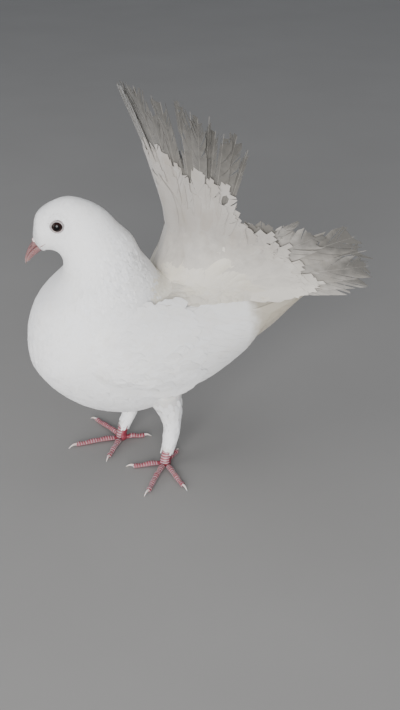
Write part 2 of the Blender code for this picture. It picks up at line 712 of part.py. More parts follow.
def main():
    for old in list(bpy.data.objects):
        bpy.data.objects.remove(old)
    head = make_body()
    make_eyes_and_lids(head)
    cut_mouth(head)
    make_bill()
    tree = BVHTree.FromPolygons(*torso_skin())
    make_wings(tree)
    make_tail(tree)
    for name in LEGS:
        make_leg(name)
    set_origin()


main()
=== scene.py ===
import json
import math
import bpy
import numpy as np
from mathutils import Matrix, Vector
from mathutils.bvhtree import BVHTree


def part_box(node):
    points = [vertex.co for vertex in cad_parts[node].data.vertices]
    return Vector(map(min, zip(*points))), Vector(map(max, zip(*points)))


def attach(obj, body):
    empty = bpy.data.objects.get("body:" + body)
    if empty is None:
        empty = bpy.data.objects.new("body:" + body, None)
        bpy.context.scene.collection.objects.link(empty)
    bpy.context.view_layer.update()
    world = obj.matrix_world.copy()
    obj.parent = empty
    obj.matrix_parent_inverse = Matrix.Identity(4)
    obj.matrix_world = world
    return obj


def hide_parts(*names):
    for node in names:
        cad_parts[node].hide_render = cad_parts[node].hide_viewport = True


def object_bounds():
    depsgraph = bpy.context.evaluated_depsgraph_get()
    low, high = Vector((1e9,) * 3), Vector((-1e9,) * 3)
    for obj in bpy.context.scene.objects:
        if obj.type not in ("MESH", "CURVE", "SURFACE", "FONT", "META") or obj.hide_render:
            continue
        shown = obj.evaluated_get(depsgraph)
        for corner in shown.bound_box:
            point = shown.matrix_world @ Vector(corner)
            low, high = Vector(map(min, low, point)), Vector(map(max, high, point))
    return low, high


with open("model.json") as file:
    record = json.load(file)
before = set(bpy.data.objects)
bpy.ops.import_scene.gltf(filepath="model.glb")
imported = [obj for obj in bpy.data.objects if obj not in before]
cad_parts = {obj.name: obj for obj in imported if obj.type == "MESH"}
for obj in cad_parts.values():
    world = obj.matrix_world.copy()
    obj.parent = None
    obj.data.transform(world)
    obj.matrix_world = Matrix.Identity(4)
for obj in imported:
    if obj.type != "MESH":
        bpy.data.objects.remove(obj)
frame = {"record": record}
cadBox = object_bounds()
mm = 0.001
pi = math.pi
draw = np.random.default_rng(11)

# Everything below is worked out in millimetres in the bird's own frame: it faces -Y, left is +X, soles at z = 0.
soleLeft = next(m for m in frame["record"]["mounts"] if m["name"] == "sole_left")["pos_m"]
soleInBird = (30.0, 4.0)
birdShift = np.array([soleLeft[0] / mm - soleInBird[0], soleLeft[1] / mm - soleInBird[1], 0.0])

body = {
    # ventral y, z, dorsal y, z, half width, share of the head's turn
    "sections": (
        (-74.5, 184.8, -81.0, 194.0, 4.6, 1.0), (-73.0, 184.3, -79.8, 203.2, 9.5, 1.0),
        (-71.0, 185.3, -77.0, 213.0, 13.5, 1.0), (-67.5, 185.5, -68.1, 220.3, 16.0, 1.0),
        (-64.0, 184.3, -55.0, 224.8, 17.5, 1.0), (-61.2, 181.5, -41.0, 222.0, 19.0, 1.0),
        (-59.8, 176.6, -28.5, 215.0, 21.0, 1.0), (-61.5, 168.0, -18.5, 204.0, 24.0, 0.9),
        (-70.0, 158.0, -8.5, 193.0, 30.0, 0.65), (-83.0, 143.0, -2.0, 180.0, 39.0, 0.35),
        (-89.5, 122.0, 7.0, 168.0, 46.0, 0.1), (-88.0, 97.0, 16.0, 157.0, 49.0, 0.0),
        (-70.0, 72.0, 30.0, 154.0, 50.0, 0.0), (-45.0, 54.0, 46.0, 155.0, 50.0, 0.0),
        (-15.0, 45.0, 62.0, 156.0, 48.0, 0.0), (18.0, 50.0, 78.0, 154.0, 43.0, 0.0),
        (46.0, 66.0, 92.0, 149.0, 35.0, 0.0), (68.0, 84.0, 101.0, 143.0, 26.0, 0.0),
        (86.0, 100.0, 107.0, 135.0, 16.0, 0.0), (98.0, 112.0, 109.0, 126.0, 6.0, 0.0),
    ),
    "headTurn": math.radians(-30),
    "turnAxisY": -45.0,
    "skinInset": 0.9,  # how deep the skin lies under the plumage
    "skinVoxel": 1.5,
}
legs = {
    "left": ((30, 4, 0), (30, 4, 6), (29.3, 6.5, 13), (28, 10, 22), (27, 12, 35), (26, 10, 48), (25, 4, 66)),
    "right": ((-23, -9, 0), (-23, -9, 6), (-23.8, -6, 13), (-25.5, 0, 22), (-27, 5, 35), (-27, 6, 48), (-25, 4, 66)),
    "widths": (5.0, 5.6, 5.8, 6.6, 7.6, 11.0, 17.0),
}
wing = {
    "sections": (
        ((36, -64, 126), (40, -67, 118), (40, -64, 108)), ((37, -52, 142), (48, -54, 119), (45, -52, 92)),
        ((37, -34, 147), (53, -34, 118), (50, -30, 84)), ((38, 2, 147), (55, 4, 114), (48, 8, 73)),
        ((38, 42, 140), (51, 44, 113), (44, 46, 84)), ((36, 78, 132), (45, 80, 117), (41, 82, 100)),
        ((33, 108, 128), (38, 110, 121), (36, 112, 113)), ((30, 136, 127), (31, 136, 125), (30, 136, 123)),
    ),
    "overTorso": 1.6,  # least height over the body
    "overhang": 0.15,  # how far the table of its face goes past its edges, as a share of its height
    "coreEnd": 4.6,
    "creamFrom": (70.0, 84.0),  # the stretch in y over which its feathers turn cream
    "rimSink": 3.4,  # how far the small coverts' front edge sinks under the breast's feathers
}
fan = {
    "root": (0.0, 52.0, 150.0), "lean": math.radians(22),
    "backMiddle": math.radians(15), "backSide": math.radians(42),
    "spread": math.radians(82), "rootSpread": (14.0, 10.0, -14.0),
    # how far the coverts at its root stand forward, at every bulgeStep along the fan
    "bulge": ((30.0,), (29.0,), (23.0,), (8.5,), (2.0,), (0.5,), (0.0,)), "bulgeStep": 12.0,
    "bulgeEnd": math.radians(76), "bulgeMiddle": math.radians(25), "bulgeDepth": 5.0,
}


def circle(count):
    # angles once round
    return np.linspace(0, 2 * pi, count, endpoint=False)


def splineRows(rows, position):
    rows = np.asarray(rows, float)
    position = np.asarray(position, float)
    start = np.clip(np.floor(position).astype(int), 0, len(rows) - 2)
    t = (position - start)[..., None]
    a, b, c, d = (rows[np.clip(start + k, 0, len(rows) - 1)] for k in (-1, 0, 1, 2))
    return b + t * (c - a) / 2 + t**2 * (a - 2.5 * b + 2 * c - d / 2) + t**3 * (1.5 * (b - c) + (d - a) / 2)


def turnHead(points, share=1.0):
    angle = body["headTurn"] * np.asarray(share)
    x, y = points[..., 0], points[..., 1] - body["turnAxisY"]
    turned = points.copy()
    turned[..., 0] = x * np.cos(angle) - y * np.sin(angle)
    turned[..., 1] = x * np.sin(angle) + y * np.cos(angle) + body["turnAxisY"]
    return turned


def bodyPoints(along, around, grow=0.0):
    along, around, grow = np.broadcast_arrays(along, around, grow)
    vy, vz, dy, dz, width, turn = np.moveaxis(splineRows(body["sections"], along), -1, 0)
    height = np.hypot(dy - vy, dz - vz)
    reach = (height / 2 + grow) * np.cos(around) / height
    points = np.stack([(width + grow) * np.sin(around), (vy + dy) / 2 + (dy - vy) * reach,
                       (vz + dz) / 2 + (dz - vz) * reach], -1)
    return turnHead(points, turn)


def legPoints(name, along, around, grow=0.0):
    along, around, grow = np.broadcast_arrays(along, around, grow)
    centre = splineRows(legs[name], along)
    radius = splineRows([(w,) for w in legs["widths"]], along)[..., 0] + grow
    return centre + np.stack([radius * np.cos(around), radius * np.sin(around), 0 * radius], -1)


def fanPoints(side, angle, along, depth):
    angle, along, depth = np.broadcast_arrays(angle, along, depth)
    share = np.clip(angle / math.radians(80), 0, 1)
    back = fan["backMiddle"] + (fan["backSide"] - fan["backMiddle"]) * share
    up = np.array([0, -math.sin(fan["lean"]), math.cos(fan["lean"])])
    out = np.stack([side * np.cos(back), np.sin(back), 0 * back], -1)
    cosine, sine = np.cos(angle)[..., None], np.sin(angle)[..., None]
    direction = up * cosine + out * sine
    front = np.cross(out * cosine - up * sine, direction) * side
    x, y, z = fan["rootSpread"]
    root = np.array(fan["root"]) + np.concatenate([side * x * sine, y * (1 - cosine), z * (1 - cosine)], -1)
    rise = splineRows(fan["bulge"], np.clip(along / fan["bulgeStep"], 0, len(fan["bulge"]) - 1))[..., 0]
    rise = rise * np.clip(1 - (np.maximum(angle, 0) / fan["bulgeEnd"])**2, 0, 1)
    rise = rise * np.clip(depth / fan["bulgeDepth"], 0, 1)
    # near the middle all that stands forward goes straight forward, so that the halves meet there
    front[..., 0] *= np.clip(angle / fan["bulgeMiddle"], 0, 1)
    return root + direction * along[..., None] + front * (depth + rise)[..., None]


def meshObject(name, points, faces, material):
    mesh = bpy.data.meshes.new(name)
    mesh.from_pydata(((np.asarray(points) + birdShift) * mm).tolist(), [], faces)
    mesh.materials.append(material)
    mesh.shade_smooth()
    made = bpy.data.objects.new(name, mesh)
    bpy.context.scene.collection.objects.link(made)
    return made


def gridFaces(rows, columns, closed=False):
    faces = []
    for i in range(rows - 1):
        for j in range(columns if closed else columns - 1):
            a, b = i * columns + j, i * columns + (j + 1) % columns
            faces.append((a, b, b + columns, a + columns))
    return faces


def tube(rings):
    # a closed skin over rings of points, with a fan over each end
    rings = np.asarray(rings)
    rows, columns = rings.shape[:2]
    points = np.concatenate([rings.reshape(-1, 3), rings[0].mean(0)[None], rings[-1].mean(0)[None]])
    faces = gridFaces(rows, columns, closed=True)
    first, last = rows * columns, rows * columns + 1
    for j in range(columns):
        k = (j + 1) % columns
        faces += [(first, k, j), (last, (rows - 1) * columns + j, (rows - 1) * columns + k)]
    return points, faces


def joined(parts):
    points, faces, count = [], [], 0
    for partPoints, partFaces in parts:
        points.append(partPoints)
        faces += [tuple(i + count for i in face) for face in partFaces]
        count += len(partPoints)
    return np.concatenate(points), faces


class Coat:
    # gathers many small closed plates and makes them one mesh, with the plates' map and their marks
    def __init__(self):
        self.points, self.faces, self.maps, self.marks, self.count = [], [], [], [], 0

    def add(self, points, faces, maps, marks):
        points = np.asarray(points).reshape(-1, 3)
        self.points.append(points)
        self.faces.append(np.asarray(faces) + self.count)
        self.maps.append(np.asarray(maps).reshape(-1, 2))
        self.marks.append(np.asarray(marks).reshape(-1, 3))
        self.count += len(points)

    def addPlate(self, upper, lower, faces, maps, marks):
        # both sides of a plate have the same map and marks
        self.add(np.concatenate([upper.reshape(-1, 3), lower.reshape(-1, 3)]), faces,
                 np.concatenate([maps.reshape(-1, 2)] * 2), np.concatenate([marks.reshape(-1, 3)] * 2))

    def build(self, name, material):
        points = (np.concatenate(self.points) + birdShift) * mm
        faces = np.concatenate(self.faces)
        mesh = bpy.data.meshes.new(name)
        mesh.vertices.add(len(points))
        mesh.vertices.foreach_set("co", points.ravel())
        mesh.loops.add(faces.size)
        mesh.loops.foreach_set("vertex_index", faces.ravel())
        mesh.polygons.add(len(faces))
        mesh.polygons.foreach_set("loop_start", np.arange(0, faces.size, 3))
        mesh.update(calc_edges=True)
        bake = mesh.uv_layers.new(name="OFBake")
        bake.data.foreach_set("uv", np.concatenate(self.maps)[faces.ravel()].ravel())
        # marks: place across the barbs in mm, a tone of its own for each feather, and 1 on the shaft
        marks = np.concatenate(self.marks)
        for k, label in enumerate(("barb", "tone", "shaft")):
            attribute = mesh.attributes.new(label, "FLOAT", "POINT")
            attribute.data.foreach_set("value", marks[:, k].copy())
        mesh.materials.append(material)
        mesh.validate()
        mesh.shade_smooth()
        mesh.set_sharp_from_angle(angle=math.radians(50))
        made = bpy.data.objects.new(name, mesh)
        bpy.context.scene.collection.objects.link(made)
        print("made", name, len(faces), "triangles")
        return made


def plateFaces(rows, columns):
    # triangles of a closed plate: an upper grid and a lower one, joined round the rim
    size = rows * columns
    faces = []
    for i in range(rows - 1):
        for j in range(columns - 1):
            a, d = i * columns + j, (i + 1) * columns + j
            b, c = a + 1, d + 1
            faces += [(a, b, c), (a, c, d), (size + a, size + c, size + b), (size + a, size + d, size + c)]
    rim = list(range(columns)) + [i * columns + columns - 1 for i in range(1, rows)]
    rim += [(rows - 1) * columns + j for j in range(columns - 2, -1, -1)]
    rim += [i * columns for i in range(rows - 2, 0, -1)]
    for a, b in zip(rim, rim[1:] + rim[:1]):
        faces += [(a, size + a, size + b), (a, size + b, b)]
    return np.array(faces)


# A small feather is a closed leaf: a grid of rows and columns above, and its rim joined across below.
class Leaf:
    def __init__(self, rows, widths, columns):
        self.rows, self.widths = np.array(rows), np.array(widths)
        self.across = np.linspace(-1, 1, columns)
        self.crown = 1 - self.across**2
        faces = []
        for i in range(len(rows) - 1):
            for j in range(columns - 1):
                a, b = i * columns + j, i * columns + j + 1
                faces += [(a, b, b + columns), (a, b + columns, a + columns)]
            a, b = i * columns, (i + 1) * columns - 1
            faces += [(a, a + columns, b + columns), (a, b + columns, b)]
        for base, turned in ((0, 0), ((len(rows) - 1) * columns, 1)):
            for j in range(1, columns - 1):
                faces.append((base, base + j, base + j + 1) if turned else (base, base + j + 1, base + j))
        self.faces = np.array(faces)


smallLeaf = Leaf((0.0, 0.4, 0.78, 1.0), (0.5, 1.0, 0.85, 0.35), 3)
longLeaf = Leaf((0.0, 0.15, 0.35, 0.55, 0.72, 0.86, 0.95, 1.0), (0.4, 0.75, 1.0, 1.0, 0.96, 0.84, 0.62, 0.30), 5)


def leaves(coat, surface, along, around, lengths, widths, lifts, bow, mapAt, flow=1.0, leaf=smallLeaf, stray=0.010,
           swing=0.06, sink=0.1, roll=0.07):
    # lays a leaf at each (along, around) of a surface, with its tip towards greater or lesser "along"
    step = 0.02
    base = surface(along, around, 0.0)
    perAlong = np.linalg.norm(surface(along + step, around, 0.0) - base, axis=-1) / step
    perAround = np.linalg.norm(surface(along, around + step, 0.0) - base, axis=-1) / step
    count = len(along)

    def each(values):
        # a value of every leaf, for all its rows and columns
        return np.broadcast_to(np.asarray(values, float), (count,))[:, None, None]

    shareAlong, shareAcross = leaf.rows[None, :, None], leaf.across[None, None, :]
    turn = each(draw.normal(0, swing, count))
    across = leaf.widths[None, :, None] * each(widths) * shareAcross
    # the end of a leaf is drawn out in its middle
    rows = (shareAlong - 0.10 * shareAlong**3 * shareAcross**2) * each(lengths)
    forward = rows * np.cos(turn) - across * np.sin(turn)
    sideways = across * np.cos(turn) + rows * np.sin(turn)
    t = each(along) + flow * forward / np.maximum(each(perAlong), 0.5)
    a = each(around) + sideways / np.maximum(each(perAround), 0.5)
    root, tip = lifts[0], each(lifts[1])
    rise = root + (tip - root) * shareAlong**0.7
    rise = rise - sink * (tip - root) * np.clip(shareAlong * 4 - 3, 0, 1) ** 2
    rise = rise + bow * leaf.crown[None, None, :] + each(draw.normal(0, stray, count))
    rise = rise + each(draw.normal(0, roll, count) * widths) * shareAcross
    points = surface(t, a, rise)
    size = rows.shape[1] * across.shape[2]
    faces = (leaf.faces[None] + size * np.arange(count)[:, None, None]).reshape(-1, 3)
    if flow < 0:
        faces = faces[:, ::-1]
    roots = mapAt(along, around)
    patch = np.stack(np.broadcast_arrays(across / each(widths), rows / each(lengths) - 0.5), -1)
    maps = roots[:, None, None, :] + patch * np.array([0.0015, 0.003])
    tone = np.broadcast_to(each(draw.uniform(0, 1, count)), rise.shape)
    barb = forward - 0.9 * np.abs(across)
    coat.add(points, faces, maps, np.stack([barb, tone, 0 * barb], -1))


vane = {
    "clump": (5, 12), "wornClump": (2, 7),  # fewest barbs of a clump, and one more than the most
    "wornFrom": 0.62, "wornRun": 0.38,  # the wear starts at this share of the length and grows over this one
    "bareEnd": 0.10, "missing": 0.14,  # most of the end, and of the clumps, that wear takes away
    "shares": np.array([0.0, 0.4, 0.75, 1.0]),  # stations from the shaft to the tips of the barbs
    "over": 0.16, "under": 0.10,  # how far its two faces lie from its middle
    "shaftEnds": (0.9, 0.22), "shaftRings": 14,  # half width of the shaft at its root and tip
    "mapScale": 0.0023,  # what a millimetre takes up on the map
}


def mapCell(index, wide, high, left=0.01):
    # the corner of a large feather's patch of the map, 16 patches to a row
    return left + wide * (index % 16), 0.02 + high * (index // 16)


def plume(coat, place, start, end, width, wear, cell, spacing=1.9, taper=0.5, shaft=1.0, facing=1):
    # a large feather: clumps of barbs on both sides of a shaft; place maps (along, across, up) to the bird
    length = end - start
    lost = wear * draw.uniform(0.0, vane["bareEnd"])
    vaneEnd = start + length * (1 - lost)
    tone = draw.uniform(0, 1)
    cellX, cellY = cell
    scale, shares = vane["mapScale"], vane["shares"]

    def widthAt(s):
        r = (s - start) / length
        base = np.clip(0.28 + 1.6 * r, 0, 1)
        return width * base * np.clip((1.12 - r) / taper, 0.0, 1.0) ** 0.6

    for side in (-1, 1):
        s = start
        while s < vaneEnd:
            r = (s - start) / length
            ragged = wear * max(0.0, (r - vane["wornFrom"]) / vane["wornRun"])
            fewest, most = vane["clump"] if ragged < 0.3 else vane["wornClump"]
            barbs = int(draw.integers(fewest, most))
            rootsAt = s + spacing * np.arange(barbs + 1)
            s += spacing * barbs
            if draw.uniform() < vane["missing"] * ragged:
                continue
            reach = widthAt(np.minimum(rootsAt, end)) * (1 - (0.02 + 0.06 * ragged) * draw.uniform(0, 1, barbs + 1))
            reach = np.maximum(reach * (1 - ragged * draw.uniform(0.0, 0.5)), 0.5)
            across = reach[:, None] * shares
            slope = 1.5 + 0.8 * r + 2.6 * ragged * draw.uniform(0.6, 1.2)
            room = np.maximum(end + (1 + 5 * wear) * draw.uniform(-1.0, 0.3) - rootsAt, 1.0)
            run = np.minimum(reach * slope, room)
            along = rootsAt[:, None] + run[:, None] * shares * (0.7 + 0.3 * shares)
            # the clump closes up a little towards its outer end, which leaves a fine split beside it
            middle = along.mean(0)
            along = middle + (along - middle) * (1 - 0.3 * ragged * shares**2)
            up = draw.normal(0, 0.01 + 0.35 * ragged) * shares**2 + 0 * along
            upper = place(along, side * across, up + vane["over"])
            lower = place(along, side * across, up - vane["under"])
            faces = plateFaces(barbs + 1, len(shares))
            if side * facing < 0:
                faces = faces[:, ::-1]
            maps = np.stack([cellX + (side * across + width) * scale, cellY + (along - start) * scale], -1)
            marks = np.stack([0 * along + rootsAt[:, None], 0 * along + tone, 0 * along], -1)
            coat.addPlate(upper, lower, faces, maps, marks)
    rings = vane["shaftRings"]
    stations = np.linspace(start, end, rings)
    thick = shaft * np.linspace(*vane["shaftEnds"], rings)
    corners = (pi / 2, pi * 7 / 6, pi * 11 / 6)
    ring = np.stack([place(stations, thick * math.cos(a), 0.08 + thick * 0.5 * math.sin(a)) for a in corners], 1)
    faces = []
    for i in range(rings - 1):
        for j in range(3):
            a, b = i * 3 + j, i * 3 + (j + 1) % 3
            faces += [(a, b, b + 3), (a, b + 3, a + 3)]
    faces += [(0, 2, 1), (3 * rings - 3, 3 * rings - 2, 3 * rings - 1)]
    fromRoot = np.repeat(stations[:, None], 3, 1)
    maps = np.stack([0 * fromRoot + cellX + width * scale, cellY + (fromRoot - start) * scale], -1)
    marks = np.stack([fromRoot, 0 * fromRoot + tone, 0 * fromRoot + 1], -1)
    coat.add(ring.reshape(-1, 3), np.array(faces), maps, marks)


# Shader helpers
def fill(tree, slot, value):
    # links a socket, or sets a number or a colour
    if isinstance(value, Sock):
        tree.links.new(value.socket, slot)
    else:
        slot.default_value = value


class Sock:
    # a socket that can stand in a sum
    def __init__(self, tree, socket):
        self.tree, self.socket = tree, socket

    def maths(self, operation, *others, swap=False, clamp=False):
        node = self.tree.nodes.new("ShaderNodeMath")
        node.operation = operation
        node.use_clamp = clamp
        values = [self, *others]
        for slot, value in zip(node.inputs, values[::-1] if swap else values):
            fill(self.tree, slot, value)
        return Sock(self.tree, node.outputs[0])

    def __add__(self, other):
        return self.maths("ADD", other)

    def __mul__(self, other):
        return self.maths("MULTIPLY", other)

    def __sub__(self, other):
        return self.maths("SUBTRACT", other)

    def __rsub__(self, other):
        return self.maths("SUBTRACT", other, swap=True)

    __radd__, __rmul__ = __add__, __mul__

    def held(self):
        return self.maths("ADD", 0.0, clamp=True)

    def sine(self):
        return self.maths("SINE")


class Finish:
    def __init__(self, name, roughness, **sockets):
        self.material = bpy.data.materials.new(name)
        self.material.use_nodes = True
        self.tree = self.material.node_tree
        self.shader = self.tree.nodes["Principled BSDF"]
        self.shader.inputs["Roughness"].default_value = roughness
        for label, value in sockets.items():
            self.shader.inputs[label.replace("_", " ")].default_value = value

    def node(self, kind, settings=None, **values):
        made = self.tree.nodes.new(kind)
        for label, value in (settings or {}).items():
            setattr(made, label, value)
        for label, value in values.items():
            fill(self.tree, made.inputs[label.replace("_", " ")], value)
        return made

    def value(self, made, output=0):
        return Sock(self.tree, made.outputs[output])

    def place(self):
        return self.value(self.node("ShaderNodeTexCoord"), "Object")

    def mark(self, label):
        return self.value(self.node("ShaderNodeAttribute", {"attribute_name": label}), "Fac")

    def noise(self, scale, detail=3.0):
        made = self.node("ShaderNodeTexNoise", Vector=self.place(), Scale=scale, Detail=detail)
        return self.value(made, "Fac")

    def mix(self, share, first, second):
        made = self.node("ShaderNodeMix", {"data_type": "RGBA"})
        for index, value in ((0, share), (6, first), (7, second)):
            fill(self.tree, made.inputs[index], (*value, 1.0) if isinstance(value, tuple) else value)
        return self.value(made, 2)

    def feed(self, label, value):
        self.tree.links.new(value.socket, self.shader.inputs[label])

    def bump(self, height, strength, distance):
        made = self.node("ShaderNodeBump", Height=height, Strength=strength, Distance=distance)
        self.feed("Normal", self.value(made))


def plumageFinish(name, clean, shade, tint, barbDepth, end=None, axis=1, span=(0.0, 1.0)):
    # clean is the lit colour, shade the cooler one, tint the worn and dusty one; over the span it turns to end,
    # measured in mm on an axis or, where that is None, along the feather
    made = Finish(name, 0.62, Sheen_Weight=0.25, Sheen_Roughness=0.5, Specular_IOR_Level=0.25)
    cloud = made.noise(28.0)
    dust = ((made.noise(75.0, 5.0) - 0.48) * 3.0).held()
    colour = made.mix(((cloud - 0.4) * 2.2).held(), clean, shade)
    colour = made.mix(dust * 0.45 + made.mark("tone") * 0.35, colour, tint)
    if end:
        start, reach = span
        if axis is None:
            where = made.mark("barb")
        else:
            where = made.value(made.node("ShaderNodeSeparateXYZ", Vector=made.place()), axis)
            start, reach = ((value + birdShift[axis]) * mm for value in span)
        behind = (where - start) * (1 / (reach - start)) + (made.noise(160.0) - 0.5) * 0.8
        colour = made.mix(behind.held(), colour, end)
    colour = made.mix(made.mark("shaft") * 0.2, colour, (0.70, 0.65, 0.58))
    made.feed("Base Color", colour)
    barbs = (made.mark("barb") * 7.5).sine() * (1 - made.mark("shaft"))
    made.feed("Roughness", 0.60 + cloud * 0.12)
    made.bump(barbs * 0.5 + made.noise(700.0, 2.0) * 0.6, 0.35, barbDepth)
    return made.material


def skinFinish():
    made = Finish("downySkin", 0.8, Sheen_Weight=0.3, Subsurface_Weight=0.08, Subsurface_Scale=0.004)
    made.feed("Base Color", made.mix(made.noise(60.0), (0.80, 0.79, 0.77), (0.70, 0.67, 0.64)))
    made.bump(made.noise(500.0, 4.0), 0.5, 0.0006)
    return made.material


whitePlumage = plumageFinish("whitePlumage", (0.86, 0.86, 0.86), (0.83, 0.83, 0.85), (0.83, 0.81, 0.78), 0.00009)
# The tail's flight feathers are coloured dark partly for real dirt and partly as painted shade: the fan's dimming in
# shadow, with the dark behind showing through it, deepest towards the feather ends.
tailPlumageDirtAndShade = plumageFinish("tailPlumageDirtAndShade", (0.19, 0.18, 0.163), (0.145, 0.137, 0.125), (0.125, 0.112, 0.093), 0.00016,
                            (0.07, 0.066, 0.059), None, (85.0, 145.0))
rumpPlumage = plumageFinish("rumpPlumage", (0.64, 0.608, 0.545), (0.55, 0.52, 0.465), (0.62, 0.565, 0.45), 0.00012)
backPlumage = plumageFinish("backPlumage", (0.84, 0.81, 0.72), (0.78, 0.75, 0.66), (0.74, 0.69, 0.57), 0.00012)
covertPlumage = plumageFinish("covertPlumage", (0.40, 0.378, 0.352), (0.33, 0.308, 0.28), (0.31, 0.268, 0.222),
                              0.00007, (0.585, 0.553, 0.50), 2, (192.0, 150.0))
# The fan's side feathers are coloured partly for real dirt and partly as painted shade: the fan's dimming in shadow,
# with the dark behind showing through, near black towards the feather ends.
sidePlumageDirtAndShade = plumageFinish("sidePlumageDirtAndShade", (0.41, 0.388, 0.358), (0.34, 0.32, 0.292), (0.29, 0.257, 0.213), 0.00014,
                            (0.10, 0.095, 0.086), None, (70.0, 120.0))
wingPlumage = plumageFinish("wingPlumage", (0.86, 0.86, 0.86), (0.83, 0.83, 0.84), (0.80, 0.77, 0.72), 0.00008,
                            (0.50, 0.455, 0.37), 1, wing["creamFrom"])
primaryPlumage = plumageFinish("primaryPlumage", (0.50, 0.455, 0.37), (0.46, 0.41, 0.32), (0.40, 0.345, 0.26), 0.00012)
downySkin = skinFinish()
print("finishes ready")

# The skin: one closed surface for head, neck, body and legs
around = circle(72)
lastSection = len(body["sections"]) - 1.0


def makeSkin():
    pieces = [tube([bodyPoints(t, around, -body["skinInset"]) for t in np.linspace(0.05, lastSection, 90)])]
    for name in ("left", "right"):
        pieces.append(tube([legPoints(name, t, around[::3], -1.0) for t in np.linspace(1.85, 6.0, 34)]))
    points, faces = joined(pieces)
    skin = meshObject("skin", points, faces, downySkin)
    remesh = skin.modifiers.new("oneSkin", "REMESH")
    remesh.mode = "VOXEL"
    remesh.voxel_size = body["skinVoxel"] * mm
    remesh.use_smooth_shade = True
    smooth = skin.modifiers.new("even", "SMOOTH")
    smooth.factor, smooth.iterations = 0.5, 4
    mesh = bpy.data.meshes.new_from_object(skin.evaluated_get(bpy.context.evaluated_depsgraph_get()))
    skin.modifiers.clear()
    skin.data = mesh
    if not mesh.materials:
        mesh.materials.append(downySkin)
    mesh.shade_smooth()
    spots = np.empty(len(mesh.vertices) * 3)
    mesh.vertices.foreach_get("co", spots)
    spots = spots.reshape(-1, 3) / mm - birdShift
    corners = np.empty(len(mesh.loops), int)
    mesh.loops.foreach_get("vertex_index", corners)
    turn = (np.arctan2(spots[:, 0], spots[:, 2] - 110) / (2 * pi)) % 1.0
    bake = mesh.uv_layers.new(name="OFBake")
    bake.data.foreach_set("uv", np.stack([turn, (spots[:, 1] + 100) / 250], -1)[corners].ravel())
    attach(skin, "root")
    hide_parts("head", "neck", "torso", "thigh_left", "thigh_right", "shank_left", "shank_right")
    print("skin ready", len(mesh.polygons), "faces")


makeSkin()

# Small feathers of the head, neck and body
coatSizes = {
    # length in mm at each of a few sections of the body, from the bill back to the tail
    "sections": (0.0, 1.5, 4.0, 6.5, 9.0, 12.0, 15.0, 17.5, 19.0),
    "lengths": (1.7, 2.4, 3.2, 4.4, 6.4, 8.0, 9.5, 10.0, 8.0),
    "width": 0.30,  # half width as a share of the length
    "rowShare": 0.28,  # spacing of the rows as a share of the length
    "root": -0.85, "tip": -0.15,  # height of a leaf's ends against the solid's surface
    "bow": 0.06,
    "eyeClear": 4.6, "eyeNear": 9.0,  # no leaf lies nearer to the eye's axis, and up to here they are short
    "breastLine": (0.5, 1.6),  # depth and half width of the parting down the breast
    "neckRuffle": 0.75, "ventFluff": 1.2,  # how far the leaf ends stand out at the neck's side and round the vent
    "creamFrom": -8.0, "creamHeights": (140.0, 166.0),  # where the white neck gives way to the cream back: y, and z
}


def bodyMap(along, turn):
    return np.stack([0.03 + 0.94 * (turn % (2 * pi)) / (2 * pi), 0.03 + 0.94 * along / lastSection], -1)


def coatSurface(along, turn, grow):
    along, turn, grow = np.broadcast_arrays(along, turn, grow)
    depth, width = coatSizes["breastLine"]
    girth = splineRows(body["sections"], along)[..., 4]
    aside = np.sin(turn) * girth / width
    line = np.exp(-(aside**2)) * (np.cos(turn) < 0) * np.clip(1 - np.abs(along - 10.6) / 2.2, 0, 1)
    return bodyPoints(along, turn, grow - depth * line)


eyeCentres, eyeAxes = {}, {}
for name in ("left", "right"):
    low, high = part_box("eye_" + name)
    eyeCentres[name] = (np.array(low) + np.array(high)) / 2 / mm - birdShift
    side = 1 if name == "left" else -1
    eyeAxes[name] = side * np.array([math.cos(body["headTurn"]), math.sin(body["headTurn"]), 0.0])


def fromEye(spots, name):
    # distance of a spot from the line straight out of the eye
    away = spots - eyeCentres[name]
    axis = eyeAxes[name]
    out = away @ axis
    return np.where(out > -2, np.linalg.norm(away - out[..., None] * axis, axis=-1), 99.0)


